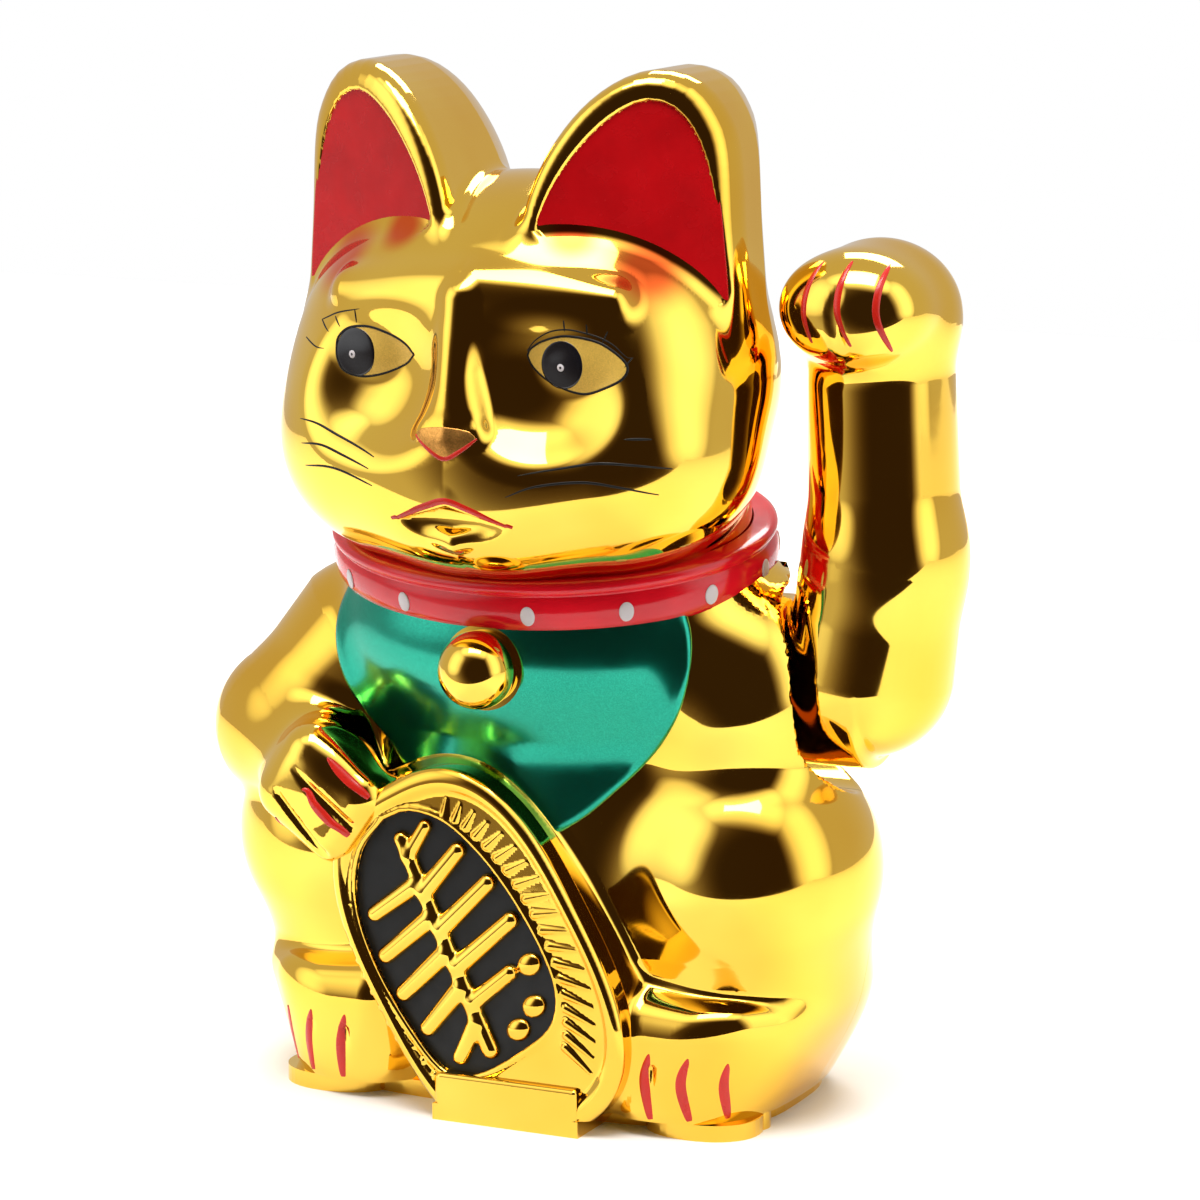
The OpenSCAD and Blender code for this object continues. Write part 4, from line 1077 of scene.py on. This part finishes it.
# %% Lashes
LASHES = {
    "left": [
        [(9.5, -33.7, 112.4), (10.7, -33.5, 114), (12.9, -33.5, 115.2), (15.3, -33.1, 115.6),
         (17.6, -32.3, 115.3), (19.6, -31.7, 114.7), (21.5, -31.6, 113.8), (23.5, -31.6, 112.3),
         (24.4, -31.2, 112.2)],
        [(24.3, -31.3, 112.2), (23.4, -32.1, 110.9)],
        [(14.9, -33.6, 116.9), (14.8, -32.9, 115.4)],
        [(17.9, -32.5, 116.5), (17.9, -32.1, 115)],
        [(20.7, -31.6, 115.6), (20.0, -31.6, 114)],
    ],
    "right": [
        [(-24.3, -29.8, 114.6), (-21.9, -31.0, 115.6), (-19.9, -31.8, 116.2), (-16.9, -32.9, 116.8)],
        [(-27.6, -28.6, 111.8), (-24.6, -31.5, 111), (-23, -32.3, 110.9)],
        [(-24.3, -29.8, 114.6), (-22.4, -31.6, 113.2)],
        [(-21.4, -31.4, 115.4), (-20.3, -31.6, 114)],
        [(-17.7, -32.6, 116.6), (-17.5, -32.3, 114.8)],
    ],
}
for name, lines in LASHES.items():
    for i, line in enumerate(lines):
        stroke("lash_%s_%d" % (name, i), face_field, line, 0.26, stroke_black, ends=(0.6, 0.3))
print("lashes:", sum(map(len, LASHES.values())))

# %% [markdown]
# The nose pad is bronze, with a red edge under it, and a red line follows the peaked lip.

# %% Nose and mouth
NOSE_PAD = [(-4.9, -40.2, 100.9), (-4.3, -40.2, 101.7), (-3.4, -40.2, 102.1), (0, -40.3, 102.3),
            (3.4, -40.2, 102.1), (4.3, -40.2, 101.7), (4.9, -40.2, 100.9), (2.4, -40.6, 99.3),
            (0, -40.8, 98.1), (-2.4, -40.6, 99.3)]
patch("nose_pad", face_field, NOSE_PAD, nose_gold, lift=0.06, rings=8, around=60, edge=0.2)
NOSE_LINE = [(-5.1, -40, 101), (-2.6, -40.6, 99.2), (0, -40.8, 97.9), (2.6, -40.6, 99.2),
             (5.1, -40, 101)]
stroke("nose_line", face_field, NOSE_LINE, 0.75, stroke_red, lift=0.1, ends=(0.3, 0.3))
LIP_LINE = [(-9.2, -37.5, 88.9), (-6.2, -38.6, 90.0), (-3, -39.6, 91.2), (0, -40.2, 92.0),
            (3, -39.6, 91.2), (6.2, -38.6, 90.0), (9.2, -37.5, 88.9)]
stroke("lip_line", face_field, LIP_LINE, 1.1, stroke_red, lift=0.1, ends=(0.5, 0.5))
print("nose pad width:", round(NOSE_PAD[6][0] - NOSE_PAD[0][0], 1), "mm")

# %% [markdown]
# The whiskers are single thin strokes, no two alike.

# %% Whiskers
WHISKERS = [
    [(-25.7, -34.3, 101.1), (-20.5, -37, 101), (-16.1, -38.2, 99.9), (-12, -39.1, 97.6)],
    [(-25.2, -34.8, 97.7), (-21.1, -36.8, 98), (-17.2, -37.8, 97), (-12.5, -38.8, 95.5)],
    [(-24.5, -34.6, 94.6), (-20.4, -36.6, 95), (-16.8, -37.5, 94.6), (-11.9, -38.5, 93.2)],
    [(10.7, -39.4, 96.2), (15.3, -38.3, 97.4), (20.8, -36.9, 98.2), (25.7, -34.5, 97.9),
     (29.9, -30.6, 97.2)],
    [(8.9, -39.4, 93.1), (13, -38.6, 94.7), (19.4, -37, 95.5), (24.1, -34.9, 94.8), (28.2, -31.4, 93.7)],
    [(24.6, -34.9, 101.5), (27.9, -32.7, 101.4)],
]
for i, line in enumerate(WHISKERS):
    stroke("whisker_%d" % i, face_field, line, 0.42, stroke_black, ends=(0.2, 0.35))
print("whiskers:", len(WHISKERS))

# %% [markdown]
# ## Claws
# Red brush marks in the shallow grooves between the toes: wide in the middle, pointed at the top.

# %% Claws
CLAW_LINES = {
    "foot_left": [
        [(24.1, -25.1, 12.4), (23.4, -25.1, 8.4), (24.3, -24.9, 2.9)],
        [(30, -24.9, 12.3), (28.9, -24.9, 8.3), (30, -24.2, 2.9)],
        [(35.2, -22.4, 11.5), (34.5, -22.2, 7.9), (34.9, -21, 2.9)],
    ],
    "foot_right": [
        [(-24.4, -25.1, 12.4), (-25.1, -25.1, 8.1), (-24.8, -25.1, 3)],
        [(-30.2, -24.8, 12.4), (-31, -24.2, 7.8), (-30.6, -24, 3)],
        [(-36.2, -22.4, 11.5), (-36.8, -22, 7.9), (-36, -21.4, 3)],
    ],
    "paw_right": [
        [(-24, -30.2, 51.7), (-21.1, -30.1, 49), (-18.4, -28.9, 46.2)],
        [(-26.8, -31.8, 47.8), (-25.1, -31.5, 44.3), (-21.1, -29.6, 40.6)],
        [(-32.6, -29.2, 42.3), (-32.6, -26.2, 38.9), (-29.2, -26, 36.2)],
    ],
}
for group, lines in CLAW_LINES.items():
    for i, line in enumerate(lines):
        stroke("claw_%s_%d" % (group, i), body_field, line, 1.7, stroke_red, lift=0.1,
               ends=(0.15, 0.5))
PAW_LINES = [
    [(44.9, -13.4, 124.4), (43.7, -16.1, 121.2), (43.4, -17, 117.7), (44.4, -16, 113.6)],
    [(49.2, -13.6, 124.8), (48.6, -16.8, 121.2), (48.7, -17.7, 117.7), (50.2, -16.4, 113.4)],
    [(54, -11.5, 124.6), (53.8, -15.5, 121), (54, -16.4, 117.1), (55.2, -13.5, 112.4)],
]
for i, line in enumerate(PAW_LINES):
    stroke("claw_paw_left_%d" % i, arm_field, line, 1.15, stroke_red, lift=0.09, ends=(0.2, 0.3),
           body=ARM)
print("claws:", sum(map(len, CLAW_LINES.values())) + len(PAW_LINES))

# %% [markdown]
# ## The parts that CAD made
# Everything inside, the base plate and the screws keep their exact shape. Each gets the finish of
# the stuff it is made of: moulded plastic with a soft grain, plated or rolled metal with fine
# scratches, copper wire wound in turns, brown board, and the printed sleeves of cell and capacitor.

# %% Finishes for the CAD parts
def plastic(name, colour, roughness=0.42, grain=0.4):
    material, tree, shader, where = new_material(name)
    drift(tree, shader, where, 12, colour, 0.86)
    rough(tree, shader, where, 2, roughness * 0.85, roughness * 1.15)
    bump(tree, shader, mottle(tree, where, grain, 0, 1), 0.01, 0.4)
    return material


def bare_metal(name, colour, roughness=0.28, stretch=(1, 1, 12)):
    """Metal with fine scratches that run along one axis."""
    material, tree, shader, where = new_material(name, Metallic=1.0)
    lines = node(tree, "ShaderNodeVectorMath", [(0, where)], operation="MULTIPLY",
                 in_1=[1 / v for v in stretch]).outputs["Vector"]
    drift(tree, shader, where, 6, colour, 0.8)
    rough(tree, shader, lines, 0.35, roughness * 0.7, roughness * 1.3, 4.0)
    bump(tree, shader, mottle(tree, lines, 0.25, 0, 1, 4.0), 0.004, 0.5)
    return material


def wound_wire(name, colour):
    """Copper wire in turns 0.2 mm apart, with painted shade darkening the grooves between the turns."""
    material, tree, shader, where = new_material(name, Metallic=1.0, Roughness=0.3)
    turns = node(tree, "ShaderNodeTexWave", [("Vector", where)], wave_type="BANDS", bands_direction="Z",
                 in_Scale=1 / (0.2 * MM) / 20, in_Distortion=1.5).outputs["Fac"]
    # painted shade: the colour darkens where the bands dip, in the grooves between the turns
    two_tone(tree, shader, turns, linear("#7E2E12"), linear(colour))
    bump(tree, shader, turns, 0.05, 0.6)
    return material


def banded(name, colour, stripe, low, high, roughness=0.35):
    """A sleeve of one colour with a band of another between two heights along X."""
    material, tree, shader, where = new_material(name)
    along = node(tree, "ShaderNodeSeparateXYZ", [("Vector", where)]).outputs["X"]
    above = node(tree, "ShaderNodeMath", [(0, along)], operation="GREATER_THAN", in_1=low * MM).outputs[0]
    below = node(tree, "ShaderNodeMath", [(0, along)], operation="LESS_THAN", in_1=high * MM).outputs[0]
    both = node(tree, "ShaderNodeMath", [(0, above), (1, below)], operation="MULTIPLY").outputs[0]
    two_tone(tree, shader, both, linear(colour), linear(stripe))
    rough(tree, shader, where, 3, roughness * 0.8, roughness * 1.2)
    return material


FINISHES = {
    "gold_base": shell_gold,
    "gold_shell": shell_gold,
    "bell_gold": shell_gold,
    "red_collar": red_enamel,
    "green_bib": bib_green,
    "black_plastic": plastic("black_moulded_plastic", "#1B1B1D"),
    "white_plastic": plastic("white_moulded_plastic", "#E8E6DF"),
    "steel": bare_metal("drawn_steel", "#A9ABAE"),
    "nickel": bare_metal("nickel_plate", "#C9C4B8", 0.2),
    "ferrite": plastic("ferrite_grey", "#3A3B3E", 0.5, 0.2),
    "copper_wire": wound_wire("enamelled_copper_wire", "#D2703A"),
    "board_brown": plastic("phenolic_board", "#8A6534", 0.5, 0.3),
    "capacitor_sleeve": plastic("capacitor_sleeve", "#1F2C58", 0.3),
    "resistor_body": plastic("resistor_beige", "#CDB186", 0.4),
    "cell_sleeve": banded("cell_sleeve", "#2B2D33", "#B9863A", 9, 20),
    "lead_cover": plastic("wire_cover_red", "#B5161A", 0.35),
}
for name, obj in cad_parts.items():
    for holder in obj.material_slots:
        word = holder.material.name.split(".")[0] if holder.material else ""
        if word in FINISHES:
            holder.material = FINISHES[word]
        else:
            print("no finish for", name, word)
print("finished nodes:", len(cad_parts))

# %% [markdown]
# ## Camera, floor and light
# A product table: a matt white floor that runs far behind the figure and ends close in front of
# it, because a mirror needs something dark to draw its shape. Two soft boxes hang above.

# %% Camera
TARGET = np.array([7.15, -5.0, 72.76]) * MM
AZIMUTH, ELEVATION, DISTANCE = math.radians(25), math.radians(10.78), 0.6871
SENSOR_MM, LENS_MM = 36, 143.34
level_part = math.cos(ELEVATION)
direction = np.array([math.sin(AZIMUTH) * level_part, -math.cos(AZIMUTH) * level_part,
                      math.sin(ELEVATION)])
camera_data = bpy.data.cameras.new("camera")
camera_data.sensor_width = SENSOR_MM
camera_data.lens = LENS_MM
camera_data.clip_start = 0.01
camera = bpy.data.objects.new("camera", camera_data)
bpy.context.collection.objects.link(camera)
camera.location = TARGET + DISTANCE * direction
camera.rotation_euler = Vector(direction).to_track_quat("Z", "Y").to_euler()
bpy.context.scene.camera = camera
print("camera at", [round(v, 3) for v in camera.location], "m")


# %% Floor and lights
FIGURE_MIDDLE = (0, 0, 0.07)
FLOOR_SIZE, FLOOR_Y = (1.7, 0.96), 0.33


def plain(name, colour, roughness=0.9):
    material, tree, shader, where = new_material(name, Roughness=roughness)
    drift(tree, shader, where, 40, colour, 0.98)
    return material


def soft_box(name, at, size, power):
    """A rectangle of light that faces the figure."""
    data = bpy.data.lights.new(name, "AREA")
    data.shape = "RECTANGLE"
    data.size, data.size_y = size
    data.energy = power
    obj = bpy.data.objects.new(name, data)
    bpy.context.collection.objects.link(obj)
    obj.location = at
    obj.rotation_euler = (Vector(at) - Vector(FIGURE_MIDDLE)).to_track_quat("Z", "Y").to_euler()


paper = plain("matt_white_paper", "#FBFBFA")
bpy.ops.mesh.primitive_plane_add(size=1, location=(0, FLOOR_Y, 0))
floor = bpy.context.object
floor.name = "floor"
floor.scale = (*FLOOR_SIZE, 1)
bpy.ops.object.transform_apply(location=True, rotation=True, scale=True)
floor.data.materials.append(paper)
print("floor:", FLOOR_SIZE, "m")

# %% [markdown]
# What the gold mirrors is the room. The world stands for it: pale walls behind, a dark studio on
# the camera's side, and three bright windows in the dark. What the camera sees directly past the
# floor stays plain white.

# %% Studio room
# azimuth, elevation, half a width, half a height and a soft edge in degrees, then the brightness
WINDOWS = [(-50, 22, 20, 28, 17, 1.7), (84, 24, 16, 34, 14, 1.8), (10, 68, 36, 14, 13, 1.9)]
world = bpy.context.scene.world or bpy.data.worlds.new("studio")
bpy.context.scene.world = world
world.use_nodes = True
room = world.node_tree
background = next(n for n in room.nodes if n.type == "BACKGROUND")
looking = node(room, "ShaderNodeTexCoord").outputs["Generated"]


def aimed(azimuth, elevation):
    a, e = math.radians(azimuth), math.radians(elevation)
    return Vector((math.sin(a) * math.cos(e), -math.cos(a) * math.cos(e), math.sin(e)))


def calc(operation, *values):
    """A sum in the world's nodes, of sockets and plain numbers."""
    links = [(i, v) for i, v in enumerate(values) if hasattr(v, "is_linked")]
    made = node(room, "ShaderNodeMath", links, operation=operation)
    for i, v in enumerate(values):
        if not hasattr(v, "is_linked"):
            made.inputs[i].default_value = v
    return made.outputs[0]


def dot(vector):
    return node(room, "ShaderNodeVectorMath", [(0, looking)], operation="DOT_PRODUCT",
                in_1=tuple(vector)).outputs["Value"]


def window(azimuth, elevation, half_w, half_h, soft):
    """1 inside a box of light seen at an azimuth and elevation, sizes in degrees."""
    middle = aimed(azimuth, elevation)
    side = Vector((0, 0, 1)).cross(middle).normalized()
    up = middle.cross(side)
    ahead = calc("MAXIMUM", dot(middle), 0.001)
    result = None
    for axis, half in ((side, half_w), (up, half_h)):
        off = calc("ABSOLUTE", calc("DIVIDE", dot(axis), ahead))
        inside = node(room, "ShaderNodeMapRange", [("Value", off)], interpolation_type="SMOOTHSTEP",
                      in_1=math.tan(math.radians(half + soft)), in_2=math.tan(math.radians(half - soft)),
                      in_3=0.0, in_4=1.0).outputs["Result"]
        result = inside if result is None else calc("MULTIPLY", result, inside)
    return calc("MULTIPLY", result, calc("GREATER_THAN", dot(middle), 0.02))


# the dark side of the room, centred on the camera
ahead = dot(aimed(28, 8))
dark_side = node(room, "ShaderNodeMapRange", [("Value", ahead)], interpolation_type="SMOOTHSTEP",
                 in_1=0.2, in_2=0.88, in_3=0.0, in_4=1.0).outputs["Result"]
ROOM_LEVEL, DARK_DROP = 0.74, 0.665
level = calc("SUBTRACT", ROOM_LEVEL, calc("MULTIPLY", dark_side, DARK_DROP))
for azimuth, elevation, half_w, half_h, soft, power in WINDOWS:
    pane = window(azimuth, elevation, half_w, half_h, soft)
    level = calc("MAXIMUM", level, calc("MULTIPLY", pane, power))
tint = node(room, "ShaderNodeMixRGB", [("Fac", calc("MINIMUM", level, 1.0))],
            in_Color1=linear("#A8784A"), in_Color2=(1, 1, 1, 1))
seen = node(room, "ShaderNodeLightPath").outputs["Is Camera Ray"]
final_level = node(room, "ShaderNodeMix", [(0, seen), (2, level)], data_type="FLOAT", in_3=1.0).outputs[0]
final_tint = node(room, "ShaderNodeMixRGB", [("Fac", seen), ("Color1", tint.outputs["Color"])],
                  in_Color2=(1, 1, 1, 1))
room.links.new(final_tint.outputs["Color"], background.inputs["Color"])
room.links.new(final_level, background.inputs["Strength"])
bpy.context.scene.view_settings.view_transform = "Standard"
print("windows in the room:", len(WINDOWS))

soft_box("box_top", (0.05, -0.25, 0.9), (0.5, 0.4), 6)
soft_box("box_back", (-0.1, 0.7, 0.9), (0.6, 0.4), 7)
